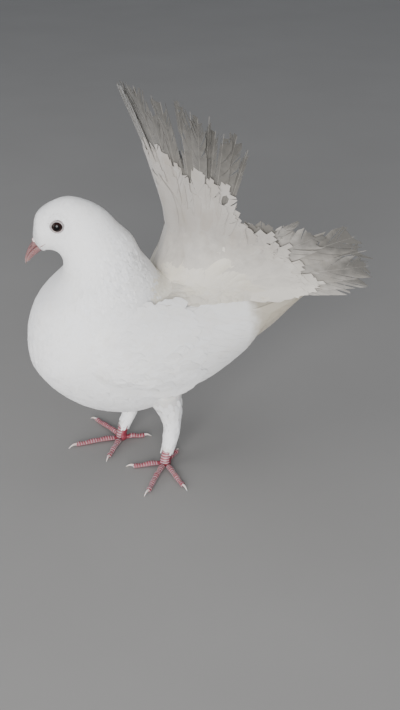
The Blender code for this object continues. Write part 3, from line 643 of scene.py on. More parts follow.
def makeBodyCoat():
    starts, turns = [], []
    t = 0.12
    while t < lastSection - 0.05:
        length = np.interp(t, coatSizes["sections"], coatSizes["lengths"])
        ring = bodyPoints(t, around)
        girth = np.linalg.norm(np.roll(ring, -1, 0) - ring, axis=1).sum()
        count = max(8, int(girth / (length * coatSizes["width"] * 1.15)))
        a = (np.arange(count) + draw.uniform(0, 1) + draw.normal(0, 0.16, count)) / count * 2 * pi
        slow = np.linalg.norm(bodyPoints(t + 0.02, around) - ring, axis=1) / 0.02
        step = coatSizes["rowShare"] * length / np.percentile(slow, 75)
        starts.append(t + draw.normal(0, 0.15, count) * step)
        turns.append(a)
        t += step
    starts, turns = np.concatenate(starts), np.concatenate(turns)
    lengths = np.interp(starts, coatSizes["sections"], coatSizes["lengths"]) * draw.uniform(0.85, 1.15, len(starts))
    spots = bodyPoints(starts, turns)
    pace = np.linalg.norm(bodyPoints(starts + 0.02, turns) - spots, axis=1) / 0.02
    rear = np.clip((starts - 14.5) / 2, 0, 1)
    lengths = np.minimum(lengths * (1 + 0.8 * rear), (lastSection - starts) * pace)
    keep = lengths > 1.2
    for name in eyeCentres:
        lengths = np.where(fromEye(spots, name) < coatSizes["eyeNear"], lengths * 0.6, lengths)
        for share in (0.0, 0.5, 1.0):
            spot = bodyPoints(starts + share * lengths / pace, turns)
            keep &= fromEye(spot, name) > coatSizes["eyeClear"] - 0.5 * share
    starts, turns, lengths, rear = starts[keep], turns[keep], lengths[keep], rear[keep]
    side = np.abs(np.sin(turns)) * np.clip(1 - np.abs(starts - 8.2) / 1.8, 0, 1) * (np.cos(turns) > -0.5)
    clumps = np.sin(starts * 9 + 2.2 * np.sin(turns * 13)) * np.sin(turns * 17 + starts * 5)
    ruffle = coatSizes["neckRuffle"] * side * (0.4 + 0.6 * clumps)
    fluff = coatSizes["ventFluff"] * rear * draw.uniform(0.2, 1.0, len(starts))
    tips = coatSizes["tip"] + ruffle + 0.02 * clumps + fluff
    spots = bodyPoints(starts, turns) + draw.normal(0, 2.5, (len(starts), 3))
    low, high = coatSizes["creamHeights"]
    cream = (spots[:, 1] > coatSizes["creamFrom"]) & (spots[:, 2] > low) & (spots[:, 2] < high) & (starts < 13.0)
    edges = (-1.0, 5.2, 8.6, 10.8, 13.0, 15.2, 20.0)
    names = ("headCoat", "neckCoat", "breastCoat", "bellyCoat", "flankCoat", "ventCoat", "backCoat")
    for k, name in enumerate(names):
        part = cream if name == "backCoat" else (starts >= edges[k]) & (starts < edges[k + 1]) & ~cream
        coat = Coat()
        leaves(coat, coatSurface, starts[part], turns[part], lengths[part], lengths[part] * coatSizes["width"],
               (coatSizes["root"], tips[part]), coatSizes["bow"], bodyMap,
               roll=0.05 + 0.10 * side[part] + 0.08 * rear[part])
        piece = coat.build(name, backPlumage if name == "backCoat" else whitePlumage)
        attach(piece, "root")


makeBodyCoat()


feet = {
    # end of each toe and of its claw on the ground
    "left": {"inner": ((21.6, -20.2), (17.0, -26.0)), "middle": ((58.0, -25.7), (62.5, -32.5)),
             "outer": ((65.0, 0.5), (72.5, 0.5)), "back": ((19.5, 20.0), (15.5, 25.0))},
    "right": {"inner": ((-2.0, -31.0), (3.5, -36.5)), "middle": ((-31.5, -46.5), (-31.0, -55.0)),
              "outer": ((-60.0, -15.0), (-67.5, -18.0)), "back": ((-16.5, 8.5), (-14.0, 15.0))},
    "halfWidths": (2.05, 1.65),
    "scuteLength": 2.1,
    "shankTop": 18.0,
    "stripHalf": math.radians(44),  # half angle of the bare strip down the shank's front
    "clawRise": 1.6,
}


def shankFront(name):
    # the way that the middle toe points
    toe, sole = feet[name]["middle"][0], legs[name][0]
    return math.atan2(toe[1] - sole[1], toe[0] - sole[0])


def makeLegCoat():
    coat = Coat()
    for index, name in enumerate(("left", "right")):
        starts, turns = [], []
        t = 5.6
        while t > 1.9:
            count = 13
            starts.append(t + draw.normal(0, 0.05, count))
            turns.append((np.arange(count) + draw.uniform(0, 1) + draw.normal(0, 0.15, count)) / count * 2 * pi)
            t -= 0.16 if t > 3 else 0.2
        starts, turns = np.concatenate(starts), np.concatenate(turns)
        bare = (np.cos(turns - shankFront(name)) > np.cos(feet["stripHalf"])) & (starts < 2.75)
        starts, turns = starts[~bare], turns[~bare]
        lengths = np.where(starts > 4.5, 8.0, np.where(starts > 2.6, 6.0, 4.2))
        lengths = lengths * draw.uniform(0.85, 1.15, len(starts))
        leaves(coat, lambda t, a, g: legPoints(name, t, a, g), starts, turns, lengths, lengths * 0.3, (-0.8, -0.3),
               0.05, lambda t, a: np.stack([0.1 + 0.4 * index + 0.3 * (a % (2 * pi)) / (2 * pi), t / 7], -1),
               flow=-1.0)
    piece = coat.build("legCoat", whitePlumage)
    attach(piece, "root")


makeLegCoat()

# The wing's outer face as a table, so that feathers can be laid on it
def makeWingTable():
    grid = bodyPoints(np.linspace(6.5, lastSection, 60)[:, None], circle(48)[None])
    points = grid.reshape(-1, 3)
    torso = BVHTree.FromPolygons(points.tolist(), gridFaces(60, 48, closed=True))
    sections = np.linspace(0, 7, 57)
    shares = np.linspace(-wing["overhang"], 1 + wing["overhang"], 27)
    table = np.zeros((len(sections), len(shares), 3))
    outs = np.zeros_like(table)
    for i, section in enumerate(sections):
        top, middle, bottom = (splineRows([row[k] for row in wing["sections"]], section) for k in range(3))
        slope = bottom - top
        out = np.array([1.0, 0, 0]) - slope * (slope[0] / slope.dot(slope))
        out /= np.linalg.norm(out)
        for j, v in enumerate(shares):
            point = Vector((1 - v) * (1 - 2 * v) * top + 4 * v * (1 - v) * middle + v * (2 * v - 1) * bottom)
            for _ in range(2):
                near, normal, _, _ = torso.find_nearest(point)
                away = (point - near).dot(normal)
                gap = math.copysign((point - near).length, away)
                if gap < wing["overTorso"]:
                    point += normal * (wing["overTorso"] - gap)
            table[i, j], outs[i, j] = point, out
    for _ in range(30):  # the places pushed off the body are evened out
        beside = table[:-2, 1:-1] + table[2:, 1:-1] + table[1:-1, :-2] + table[1:-1, 2:]
        table[1:-1, 1:-1] = (table[1:-1, 1:-1] * 2 + beside) / 6
    # columns 3 and 23 are its top and bottom edges
    heights = np.array([np.linalg.norm(table[i, 3] - table[i, 23]) * 1.1 for i in range(len(sections))])
    return sections, table, outs, heights


wingSections, wingFace, wingOut, wingHeights = makeWingTable()


def wingPoints(side, section, share, lift):
    section, share, lift = np.broadcast_arrays(section, share, lift)
    rows, columns = wingFace.shape[0] - 1, wingFace.shape[1] - 1
    edge = wing["overhang"]
    i = np.clip(section / wingSections[-1] * rows, 0, rows - 0.001)
    j = np.clip((share + edge) / (1 + 2 * edge) * columns, 0, columns - 0.001)
    i0, j0 = i.astype(int), j.astype(int)
    fi, fj = (i - i0)[..., None], (j - j0)[..., None]

    def at(table):
        near = table[i0, j0] * (1 - fj) + table[i0, j0 + 1] * fj
        far = table[i0 + 1, j0] * (1 - fj) + table[i0 + 1, j0 + 1] * fj
        return near * (1 - fi) + far * fi

    points = at(wingFace) + at(wingOut) * lift[..., None]
    return points * np.array([side, 1, 1])


def rimSink(section, share):
    # the wing's front edge sinks under the breast's feathers
    front = np.clip(1.3 - section / 0.8, 0, 1)
    ends = np.clip(1.2 - share / 0.15, 0, 1) + np.clip((share - 0.85) / 0.12, 0, 1)
    return wing["rimSink"] * np.clip(front + ends * np.clip(3.0 - section, 0, 1), 0, 1) ** 1.3


def wingHeight(section):
    return np.interp(section, wingSections, wingHeights)


wingTiers = (
    # name, count, lowest and highest root, lowest and highest tip, half width, lift at root, middle and tip
    ("primaries", 7, (3.3, 0.80), (2.9, 0.60), (6.35, 0.95), (6.95, 0.45), 5.4, (-3.6, -3.4, -2.2), 0.45),
    ("secondaries", 10, (2.6, 0.90), (2.6, 0.12), (4.8, 0.98), (5.7, 0.14), 7.6, (-0.9, 0.8, 0.5), 0.0),
    ("coverts", 10, (1.5, 0.92), (1.5, 0.13), (3.3, 0.94), (3.9, 0.17), 7.2, (-0.9, 1.0, 1.4), 0.0),
)


def makeWing(side, name):
    coat, primaries = Coat(), Coat()
    index = 0
    for tier, count, rootA, rootB, tipA, tipB, width, lifts, stack in wingTiers:
        for k in range(count):
            share = k / (count - 1)
            root = [a + (b - a) * share for a, b in zip(rootA, rootB)]
            tip = [a + (b - a) * share for a, b in zip(tipA, tipB)]
            spots = wingPoints(1, np.linspace(root[0], tip[0], 12), np.linspace(root[1], tip[1], 12), 0.0)
            length = np.linalg.norm(np.diff(spots, axis=0), axis=1).sum()
            crowd = [abs(b[1] - a[1]) / (count - 1) for a, b in ((rootA, rootB), (tipA, tipB))]
            raised = np.array(lifts) + stack * k

            def place(along, across, up):
                r = np.clip(along / length, 0, 1.02)
                section = root[0] + (tip[0] - root[0]) * r
                height = wingHeight(section)
                lift = splineRows(raised[:, None], 2 * np.clip(0.1 + 1.1 * r, 0, 1))[..., 0]
                gap = np.maximum(height * (crowd[0] * (1 - r) + crowd[1] * r), width)
                where = root[1] + (tip[1] - root[1]) * r + across / height
                return wingPoints(side, section, where, lift + up + 0.5 * across / gap - rimSink(section, where))

            cell = mapCell(index, 0.062, 0.24)
            if tier == "primaries":
                plume(primaries, place, 0.0, length, width, 0.3, cell, spacing=1.6, shaft=0.45)
            else:
                plume(coat, place, 0.0, length, width, 0.04, cell, spacing=1.7, shaft=0.35)
            index += 1
    # small coverts over the front of the wing
    starts, turns = [], []
    section = 0.0
    while section < 3.4:
        count = 18 if section < 0.6 else 24
        starts.append(section + draw.normal(0, 0.015, count))
        turns.append((np.arange(count) + draw.uniform(0.2, 0.8)) / count + draw.normal(0, 0.008, count))
        section += 0.075
    starts, turns = np.concatenate(starts), np.concatenate(turns)
    keep = draw.uniform(2.3, 3.4, len(starts)) > starts
    starts, turns = starts[keep], turns[keep]
    lengths = np.interp(starts, (0, 1, 3.3), (6.0, 9.0, 14.0)) * draw.uniform(0.85, 1.15, len(starts))

    def cover(t, a, grow):
        lift = np.interp(t, (0, 0.8, 1.7, 2.7, 3.6), (0.2, 1.0, 1.9, 2.3, 2.1))
        return wingPoints(side, t, a, lift - rimSink(t, a) + grow)

    leaves(coat, cover, starts, turns, lengths, lengths * 0.34, (-0.30, 0.0), 0.10,
           lambda t, a: np.stack([0.05 + 0.9 * a, 0.78 + 0.06 * t], -1))
    piece = coat.build("wingCoat_" + name, wingPlumage)
    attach(piece, "root")
    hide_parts("wing_" + name)
    piece = primaries.build("primaries_" + name, primaryPlumage)
    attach(piece, "root")
    # the wing's own flesh under the feathers
    rows = []
    for section in np.linspace(0.05, wing["coreEnd"] - 0.2, 30):
        across = np.linspace(0.02, 0.98, 15)
        outer = wingPoints(side, section, across, -0.8 - rimSink(section, across))
        inner = wingPoints(side, section, across, -1.6 - rimSink(section, across))
        rows.append(np.concatenate([outer, inner[::-1]]))
    points, faces = np.array(rows).reshape(-1, 3), gridFaces(30, 30, closed=True)
    for base, back in ((0, 1), (29 * 30, 0)):
        for k in range(14):
            quad = (base + k, base + k + 1, base + 28 - k, base + 29 - k)
            faces.append(quad if back else quad[::-1])
    if side > 0:
        faces = [f[::-1] for f in faces]
    flesh = meshObject("wingSkin_" + name, points, faces, downySkin)
    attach(flesh, "root")


makeWing(1, "left")
makeWing(-1, "right")
print("wings ready")

# The tail fan
tail = {
    # angle from the middle in degrees, length in mm, half width in mm and wear of each flight feather of the left half
    "left": ((1.0, 159, 9.0, 0.9), (4.0, 163, 9.0, 1.0), (7.0, 146, 7.0, 1.0), (8.6, 160, 2.0, 1.2),
             (11.0, 158, 9.0, 0.8),
             (13.8, 112, 7.0, 0.7), (16.6, 163, 7.0, 1.0), (19.0, 162, 7.0, 1.0), (21.5, 160, 6.0, 1.2),
             (23.4, 163, 2.5, 1.3), (25.0, 152, 6.5, 1.0), (28.0, 156, 7.5, 0.7), (30.2, 160, 6.0, 0.9),
             (33.4, 153, 2.2, 0.9), (36.0, 74, 9.0, 0.5), (41.0, 79, 9.0, 0.5), (46.0, 84, 9.0, 0.5),
             (50.0, 94, 9.0, 0.7), (53.0, 120, 2.5, 0.8), (55.5, 104, 9.0, 0.8), (59.5, 118, 10.0, 0.9),
             (63.5, 145, 10.5, 0.8), (68.5, 144, 11.0, 0.9), (73.0, 137, 11.0, 0.8), (77.0, 124, 10.0, 0.9),
             (80.5, 108, 9.0, 1.0)),
    # gaps between groups of worn feathers: where one starts, and its two edges at its far end, in degrees
    "gaps": ((14.9, 100, 13.0, 15.4), (26.5, 106, 25.7, 27.0)), "gapEnd": 155,
    "rightCount": 17, "rightLengths": (158.0, 128.0), "rightWidth": 11.0,
    "layer": 0.8,
    "sideAngle": math.radians(50),
    "frontDepth": ((0, 7.2), (24, 6.9), (50, 5.6), (75, 3.9), (115, 1.9)),
    "backDepth": ((0, 7.2), (24, 5.8), (50, 4.6), (80, 3.2), (115, 2.2)),
    # covert tips: how far they reach at each angle, in degrees and mm
    "covertLine": ((0, 114), (5, 112), (15, 98), (27, 108), (33, 100), (38, 80), (46, 82), (60, 86), (80, 84),
                   (90, 45)),
    "covertWidth": 5.2,
    "wornCoverts": 26, "covertWear": 0.42,
    "frontFolds": 0.5, "foldAngle": math.radians(14),
}


def makeTail(side, name):
    coat, sideCoat = Coat(), Coat()
    if side > 0:
        feathers = [(math.radians(a), length, width, wear) for a, length, width, wear in tail["left"]]
    else:
        count = tail["rightCount"]
        near, far = tail["rightLengths"]
        feathers = [(fan["spread"] * (k + 0.5) / count, near + (far - near) * k / count + draw.normal(0, 5),
                     tail["rightWidth"], 0.8) for k in range(count)]
    step = math.radians(5.0)
    for index, (angle, end, width, wear) in enumerate(feathers):
        bend = draw.normal(0, 1.2)
        sway = draw.normal(0, 0.8)

        def place(along, across, up):
            radius = along + fan["rootSpread"][0]
            far = np.clip(along / 150, 0, 1.2)
            tilt = tail["layer"] * np.clip(across / (radius * step), -1.6, 1.6)
            where = angle + (across + sway * far**3) / radius
            if side > 0:
                for middle, start, near, away in tail["gaps"]:
                    share = np.clip((along - start) / (tail["gapEnd"] - start), 0, 1)
                    if angle < math.radians(middle):
                        edge = np.where(share > 0, middle + (near - middle) * share, 180)
                        where = np.minimum(where, np.radians(edge))
                    else:
                        edge = np.where(share > 0, middle + (away - middle) * share, -180)
                        where = np.maximum(where, np.radians(edge))
            return fanPoints(side, where, along, tilt + up + bend * far**2)

        cell = mapCell(index, 0.062, 0.45)
        vanes = sideCoat if angle > tail["sideAngle"] else coat
        plume(vanes, place, 26.0, end, width, wear, cell, spacing=1.5, taper=0.30)
    piece = sideCoat.build("tailSide_" + name, sidePlumageDirtAndShade)
    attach(piece, "root")
    piece = coat.build("tailFeathers_" + name, tailPlumageDirtAndShade)
    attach(piece, "root")
    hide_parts("tail_" + name)

    covers = Coat()
    line = np.array(tail["covertLine"], float)
    for face, depths in ((1, tail["frontDepth"]), (-1, tail["backDepth"])):
        marks = np.array(depths)

        def overMiddle(angle, along, depth):
            # past the fan's middle the feathers go on over the other half
            other = fanPoints(-side, -angle, along, depth)
            return np.where(angle[..., None] < 0, other, fanPoints(side, angle, along, depth))

        def surface(t, a, grow):
            return overMiddle(a, t, face * (np.interp(t, marks[:, 0], marks[:, 1]) + grow))

        # the lowest tier reaches furthest, and each one over it ends a little nearer the root
        starts, turns, lengths = [], [], []
        for root, reach, count in ((21, 0.88, 34), (18, 0.80, 32), (15, 0.71, 30),
                                   (12, 0.62, 28), (9, 0.52, 26), (6, 0.42, 24), (2, 0.33, 22)):
            a = -0.03 + (fan["spread"] + 0.16) * (np.arange(count) + draw.uniform(0.2, 0.8)) / count
            a = a + draw.normal(0, 0.010, count)
            ends = np.interp(np.degrees(a), line[:, 0], line[:, 1]) * (1.0 if face > 0 else 0.92)
            starts.append(np.full(count, float(root)) + draw.normal(0, 0.8, count))
            turns.append(a)
            lengths.append(ends * (reach + draw.normal(0, 0.05, count)) - root)
        starts, turns, lengths = (np.concatenate(part) for part in (starts, turns, lengths))
        reachable = (starts + lengths + fan["rootSpread"][0]) / 90

        def coverMap(t, a):
            return np.stack([0.05 + 0.42 * (face < 0) + 0.4 * a / 1.5, 0.05 + 0.9 * t / 110], -1)

        # near the fan's front edge the feathers part into folds
        folds = 0.05 + tail["frontFolds"] * np.exp(-(turns / tail["foldAngle"])**2)
        leaves(covers, surface, starts, turns, lengths, tail["covertWidth"] * np.clip(reachable, 0.5, 1.3),
               (-0.40, 0.0), 0.22, coverMap, leaf=longLeaf, stray=folds, swing=0.012, sink=1.0)
        count = tail["wornCoverts"]
        for k in range(2 * count):
            row = k // count
            angle = fan["spread"] * (k % count + draw.uniform(0.3, 0.7) + 0.5 * row) / count
            end = np.interp(math.degrees(angle), line[:, 0], line[:, 1]) * (1.0 if face > 0 else 0.92)
            end = end * (1.0, 0.88)[row] + draw.normal(0, 3.5)
            slant = draw.normal(0, 0.25)

            def lay(along, across, up):
                height = np.interp(along, marks[:, 0], marks[:, 1]) - (0.7, 0.3)[row]
                height = height + 0.08 * across + slant * along / 90
                return overMiddle(angle + across / (along + fan["rootSpread"][0]), along, face * (height + up))

            cell = mapCell(k, 0.03, 0.24, 0.01 + 0.5 * (face < 0))
            plume(covers, lay, (22.0, 40.0)[row], end, 6.0, tail["covertWear"], cell, spacing=1.5, taper=0.25,
                  shaft=0.3, facing=face)
    piece = covers.build("tailCoverts_" + name, covertPlumage)
    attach(piece, "root")


rump = {
    "sections": (2.75, 4.9), "share": 0.02, "lift": 1.2,  # where its lower edge lies on the wing
    "angles": (2.0, 80.0), "alongs": (13.0, 34.0), "reach": 45.0,  # and its upper edge on the fan
    "rows": 30, "columns": 17, "fringe": 110, "length": 17.0, "width": 3.6,
}


def makeRump():
    coat = Coat()
    depths = np.array(tail["frontDepth"], float)
    for side in (1, -1):
        def surface(t, a, grow):
            t, a, grow = np.broadcast_arrays(t, a, grow)
            low, high = rump["sections"]
            section = low + (high - low) * t
            lift = rump["lift"] - rimSink(section, rump["share"]) - (section < 2.9)
            near = wingPoints(side, section, rump["share"], lift)
            low, high = (math.radians(angle) for angle in rump["angles"])
            first, last = rump["alongs"]
            # past its upper edge it goes on up the fan
            beyond = np.maximum(a - 1, 0)
            a = a - beyond
            length = first + (last - first) * t + rump["reach"] * beyond
            depth = np.interp(length, depths[:, 0], depths[:, 1]) + 0.2
            far = fanPoints(side, low + (high - low) * t, length, depth)
            out = np.stack([side * (1 - a), 0 * a, 0.4 + 0.6 * a], -1)
            return near * (1 - a)[..., None] + far * a[..., None] + out * grow[..., None]

        rows, columns = rump["rows"], rump["columns"]
        starts = np.repeat(np.linspace(-0.08, 0.93, rows), columns) + draw.normal(0, 0.012, rows * columns)
        turns = np.tile(np.linspace(0.07, 1.0, columns), rows) + draw.normal(0, 0.03, rows * columns)
        lengths = rump["length"] * draw.uniform(0.75, 1.2, rows * columns)
        widths = rump["width"] * draw.uniform(0.8, 1.1, rows * columns)
        leaves(coat, surface, starts, turns, lengths, widths, (-1.2, 0.2),
               0.3, lambda t, a: np.stack([0.25 + 0.5 * (side < 0) + 0.2 * t, 0.25 + 0.4 * a], -1), leaf=longLeaf,
               stray=0.3, swing=0.2, sink=0.6, roll=0.12)
        count = rump["fringe"]
        leaves(coat, lambda u, v, grow: surface(v, -u, grow), draw.uniform(-1.0, -0.7, count),
               draw.uniform(-0.08, 0.5, count), rump["length"] * draw.uniform(0.5, 0.8, count),
               rump["width"] * draw.uniform(0.8, 1.2, count), (-1.0, 0.1), 0.2,
               lambda u, v: np.stack([0.25 + 0.5 * (side < 0) + 0.2 * v, 0.70 - 0.2 * u], -1), flow=-1.0, leaf=longLeaf,
               stray=0.15, swing=0.12, sink=0.8, roll=0.08)
    piece = coat.build("rumpCoat", rumpPlumage)
    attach(piece, "root")


makeRump()
makeTail(1, "left")
makeTail(-1, "right")
print("tail ready")

# Finishes of the bare parts
def hornFinish(name, colour, pale, roughness):
    made = Finish(name, roughness, Subsurface_Weight=0.15, Subsurface_Scale=0.002)
    base = made.mix(made.noise(260.0), colour, tuple(c * 0.82 for c in colour))
    made.feed("Base Color", made.mix(made.mark("tone"), base, pale))
    made.feed("Roughness", roughness + made.noise(500.0) * 0.15)
    made.bump(made.noise(1400.0), 0.25, 0.00012)
    return made.material


def scuteFinish():
    made = Finish("redScutes", 0.5, Subsurface_Weight=0.15, Subsurface_Scale=0.0015)
    red = made.mix(made.noise(180.0), (0.18, 0.014, 0.03), (0.26, 0.038, 0.06))
    red = made.mix(((made.noise(420.0) - 0.5) * 3.0).held() * 0.35, red, (0.43, 0.21, 0.235))
    made.feed("Base Color", made.mix(made.mark("shaft") * 0.85, red, (0.60, 0.51, 0.52)))
    made.feed("Roughness", 0.42 + made.noise(300.0) * 0.2)
    made.bump(made.noise(1500.0), 0.3, 0.0001)
    return made.material


def eyeFinish():
    made = Finish("eyeDark", 0.05, IOR=1.3)
    ring = made.mark("tone")  # 0 on the pupil, 1 on the iris
    iris = made.mix(made.noise(1500.0), (0.020, 0.008, 0.006), (0.010, 0.005, 0.004))
    made.feed("Base Color", made.mix(ring, (0.003, 0.003, 0.003), iris))
    return made.material


billHorn = hornFinish("billHorn", (0.23, 0.115, 0.115), (0.34, 0.25, 0.23), 0.45)
cereSkin = hornFinish("cereSkin", (0.50, 0.36, 0.35), (0.66, 0.56, 0.54), 0.75)
lidSkin = hornFinish("lidSkin", (0.27, 0.24, 0.24), (0.40, 0.36, 0.355), 0.7)
clawHorn = hornFinish("clawHorn", (0.62, 0.50, 0.47), (0.74, 0.66, 0.62), 0.35)
mouthFlesh = hornFinish("mouthFlesh", (0.26, 0.14, 0.14), (0.38, 0.27, 0.26), 0.6)
# The nostril slits' dark colour is painted shade of the hollow openings.
nostrilPaintedShade = hornFinish("nostrilPaintedShade", (0.12, 0.06, 0.06), (0.16, 0.09, 0.09), 0.6)
redScutes = scuteFinish()
eyeDark = eyeFinish()


def marked(name, points, faces, tones, material, subdivide=1):
    # a bare piece with one mark for each of its points
    made = meshObject(name, points, faces, material)
    attribute = made.data.attributes.new("tone", "FLOAT", "POINT")
    attribute.data.foreach_set("value", np.asarray(tones, float))
    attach(made, "root")
    if subdivide:
        smooth = made.modifiers.new("even", "SUBSURF")
        smooth.levels = smooth.render_levels = subdivide
    return made


# Bill
bill = {
    # top y, z, bottom y, z, half width, from the face to the tip
    "upper": (
        (-74.5, 193.4, -72.8, 191.8, 5.8), (-78.6, 193.4, -75.6, 189.8, 5.3), (-80.9, 192.2, -77.6, 188.3, 4.8),
        (-82.2, 190.3, -79.6, 186.8, 4.2), (-84.4, 187.2, -82.3, 184.1, 3.4), (-86.3, 183.2, -84.5, 181.4, 2.75),
        (-87.7, 179.0, -86.1, 177.4, 2.05), (-88.0, 176.0, -87.0, 175.1, 1.3), (-87.4, 173.8, -87.1, 173.6, 0.45),
    ),
    "lower": (
        (-73.6, 192.3, -72.0, 185.8, 5.3), (-76.2, 190.6, -74.9, 184.8, 5.0), (-80.3, 187.5, -78.8, 181.8, 4.3),
        (-83.1, 184.7, -81.2, 179.8, 3.5), (-85.3, 181.7, -83.5, 177.6, 2.7), (-86.7, 178.0, -85.2, 175.9, 1.9),
        (-87.2, 175.8, -86.4, 175.1, 0.6),
    ),
    "cere": ((-79.3, 192.2), (1.9, 1.3, 2.7)),  # place of each lobe in y, z, and its half sizes
    "cereAside": 2.0, "cereTilt": 38,  # the lobes lie back along the bill
    "nostril": ((-82.3, 188.3), 3.9), "nostrilSizes": (0.35, 1.9, 0.42), "nostrilTilt": 52,
    "mouth": ((-80.5, 185.6), (-77.0, 188.4), (-74.0, 190.8), (-71.6, 192.8), (-69.8, 194.2)),
}


def onHead(points):
    return turnHead(np.asarray(points, float), 1.0)


def makeBill():
    for name, power in (("upper", 0.85), ("lower", 0.9)):
        rows = bill[name]
        rings, tones = [], []
        turns = circle(28)
        for place in np.linspace(0, len(rows) - 1, 26):
            ty, tz, by, bz, width = splineRows(rows, place)
            cosine, sine = np.cos(turns), np.sin(turns)
            # the culmen is a soft ridge, and the cutting edges are drawn in
            drawnIn = 1 - 0.10 * cosine if name == "upper" else 1 + 0.10 * cosine
            x = width * np.sign(sine) * np.abs(sine) ** power * drawnIn
            y = (ty + by) / 2 + (ty - by) / 2 * cosine
            z = (tz + bz) / 2 + (tz - bz) / 2 * cosine
            rings.append(np.stack([x, y, z], -1))
            tones.append(np.full(28, np.clip((place / (len(rows) - 1) - 0.62) * 2.4, 0, 1)))
        points, faces = tube(rings)
        tones = np.concatenate([np.concatenate(tones), [0, 1]])
        piece = marked("bill" + name.capitalize(), onHead(points), faces, tones, billHorn)
        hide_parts("bill_" + name)


def blob(sizes, rows=14, columns=20):
    # a closed egg round the origin
    wide, deep, high = sizes
    a = circle(columns)
    rings = [np.stack([wide * np.sin(u) * np.cos(a), deep * np.sin(u) * np.sin(a), high * np.cos(u) + 0 * a], -1)
             for u in np.linspace(0.12, pi - 0.12, rows)]
    return tube(rings[::-1])


def tilted(points, degrees):
    # turns points about the X axis
    cosine, sine = math.cos(math.radians(degrees)), math.sin(math.radians(degrees))
    x, y, z = points.T
    return np.stack([x, y * cosine - z * sine, y * sine + z * cosine], -1)


def makeCere():
    (y, z), sizes = bill["cere"]
    (nostrilY, nostrilZ), nostrilX = bill["nostril"]
    lobes, slits = [], []
    for side in (1, -1):
        points, faces = blob(sizes)
        lobes.append((tilted(points, bill["cereTilt"]) + [side * bill["cereAside"], y, z], faces))
        points, faces = blob(bill["nostrilSizes"])
        slits.append((tilted(points, bill["nostrilTilt"]) + [side * nostrilX, nostrilY, nostrilZ], faces))
    points, faces = joined(lobes)
    piece = marked("cere", onHead(points), faces, draw.uniform(0, 1, len(points)), cereSkin)
    points, faces = joined(slits)
    # dark slits painted as the shade inside the nostril openings
    piece = marked("nostrils", onHead(points), faces, np.zeros(len(points)), nostrilPaintedShade)


def sideOfHead(y, z, side):
    # the spot of the head's skin beside a place of its middle plane
    t = np.linspace(0, 6.5, 261)
    vy, vz, dy, dz, width, _ = splineRows(body["sections"], t).T
    height = np.hypot(dy - vy, dz - vz)
    along = ((y - (vy + dy) / 2) * (dy - vy) + (z - (vz + dz) / 2) * (dz - vz)) / height
    miss = np.hypot((vy + dy) / 2 + (dy - vy) / height * along - y, (vz + dz) / 2 + (dz - vz) / height * along - z)
    best = miss.argmin()
    half = width[best] * math.sqrt(max(0.0, 1 - (2 * along[best] / height[best]) ** 2))
    return np.array([side * half, y, z])


def makeMouth():
    # the fleshy line of the mouth, from the bill back into the feathers
    pieces = []
    for side in (1, -1):
        line = [sideOfHead(y, z, side) for y, z in bill["mouth"]]
        line = splineRows(line, np.linspace(0, len(line) - 1, 18))
        rings = []
        for k, spot in enumerate(line):
            thick = 0.55 * (1 - k / 17) ** 0.6 + 0.12
            a = circle(8)
            centre = spot + np.array([-side * 0.12, 0, 0])
            rings.append(centre + np.stack([0.6 * thick * np.cos(a), 0.5 * thick * np.sin(a), thick * np.sin(a)], -1))
        pieces.append(tube(rings))
    points, faces = joined(pieces)
    piece = marked("mouthLine", onHead(points), faces, draw.uniform(0, 0.4, len(points)), mouthFlesh)


eye = {"radius": 4.55, "pupil": 2.1, "lidHalfWidth": 4.3, "lidHalfHeight": 4.1, "lidThick": 0.88, "lidOut": 2.3}


def makeEyes():
    for name in ("left", "right"):
        axis = eyeAxes[name]
        forward = onHead([0, -1, 0]) - onHead([0, 0, 0])
        upward = np.array([0.0, 0.0, 1.0])
        centre = eyeCentres[name]

        def at(out, ahead, up):
            out, ahead, up = np.broadcast_arrays(out, ahead, up)
            return centre + out[..., None] * axis + ahead[..., None] * forward + up[..., None] * upward

        rings, tones = [], []
        a = circle(40)
        radius = eye["radius"]
        for u in np.concatenate([np.linspace(0.04, 1.2, 26), np.linspace(1.35, pi - 0.2, 9)]):
            ring = at(radius * math.cos(u), radius * math.sin(u) * np.cos(a), radius * math.sin(u) * np.sin(a))
            rings.append(ring if name == "left" else ring[::-1])
            tones.append(np.full(40, 1.0 if radius * math.sin(u) > eye["pupil"] or u > 1.3 else 0.0))
        points, faces = tube(rings)
        piece = marked("eyeball_" + name, points, faces, np.concatenate([np.concatenate(tones), [0, 1]]), eyeDark, 0)
        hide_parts("eye_" + name)

        # the lids: a soft ring, a little pointed before and behind, with a row of fine beads of skin
        rings = []
        for turn in circle(48):
            point = 1 + 0.08 * math.cos(turn) ** 8
            wide, high = eye["lidHalfWidth"] * point, eye["lidHalfHeight"]
            b = circle(10)
            bead = eye["lidThick"] * (1 + 0.10 * math.cos(turn * 24))
            rings.append(at(eye["lidOut"] + 0.75 * bead * np.sin(b), (wide + bead * np.cos(b)) * math.cos(turn),
                            (high + bead * np.cos(b)) * math.sin(turn)))
        rings = np.array(rings)
        faces = [(i * 10 + j, i * 10 + (j + 1) % 10, (i + 1) % 48 * 10 + (j + 1) % 10, (i + 1) % 48 * 10 + j)
                 for i in range(48) for j in range(10)]
        if name == "right":
            faces = [face[::-1] for face in faces]
        piece = marked("lids_" + name, rings.reshape(-1, 3), faces, draw.uniform(0, 1, 480), lidSkin)


makeBill()
makeCere()
makeMouth()
makeEyes()
print("head ready")

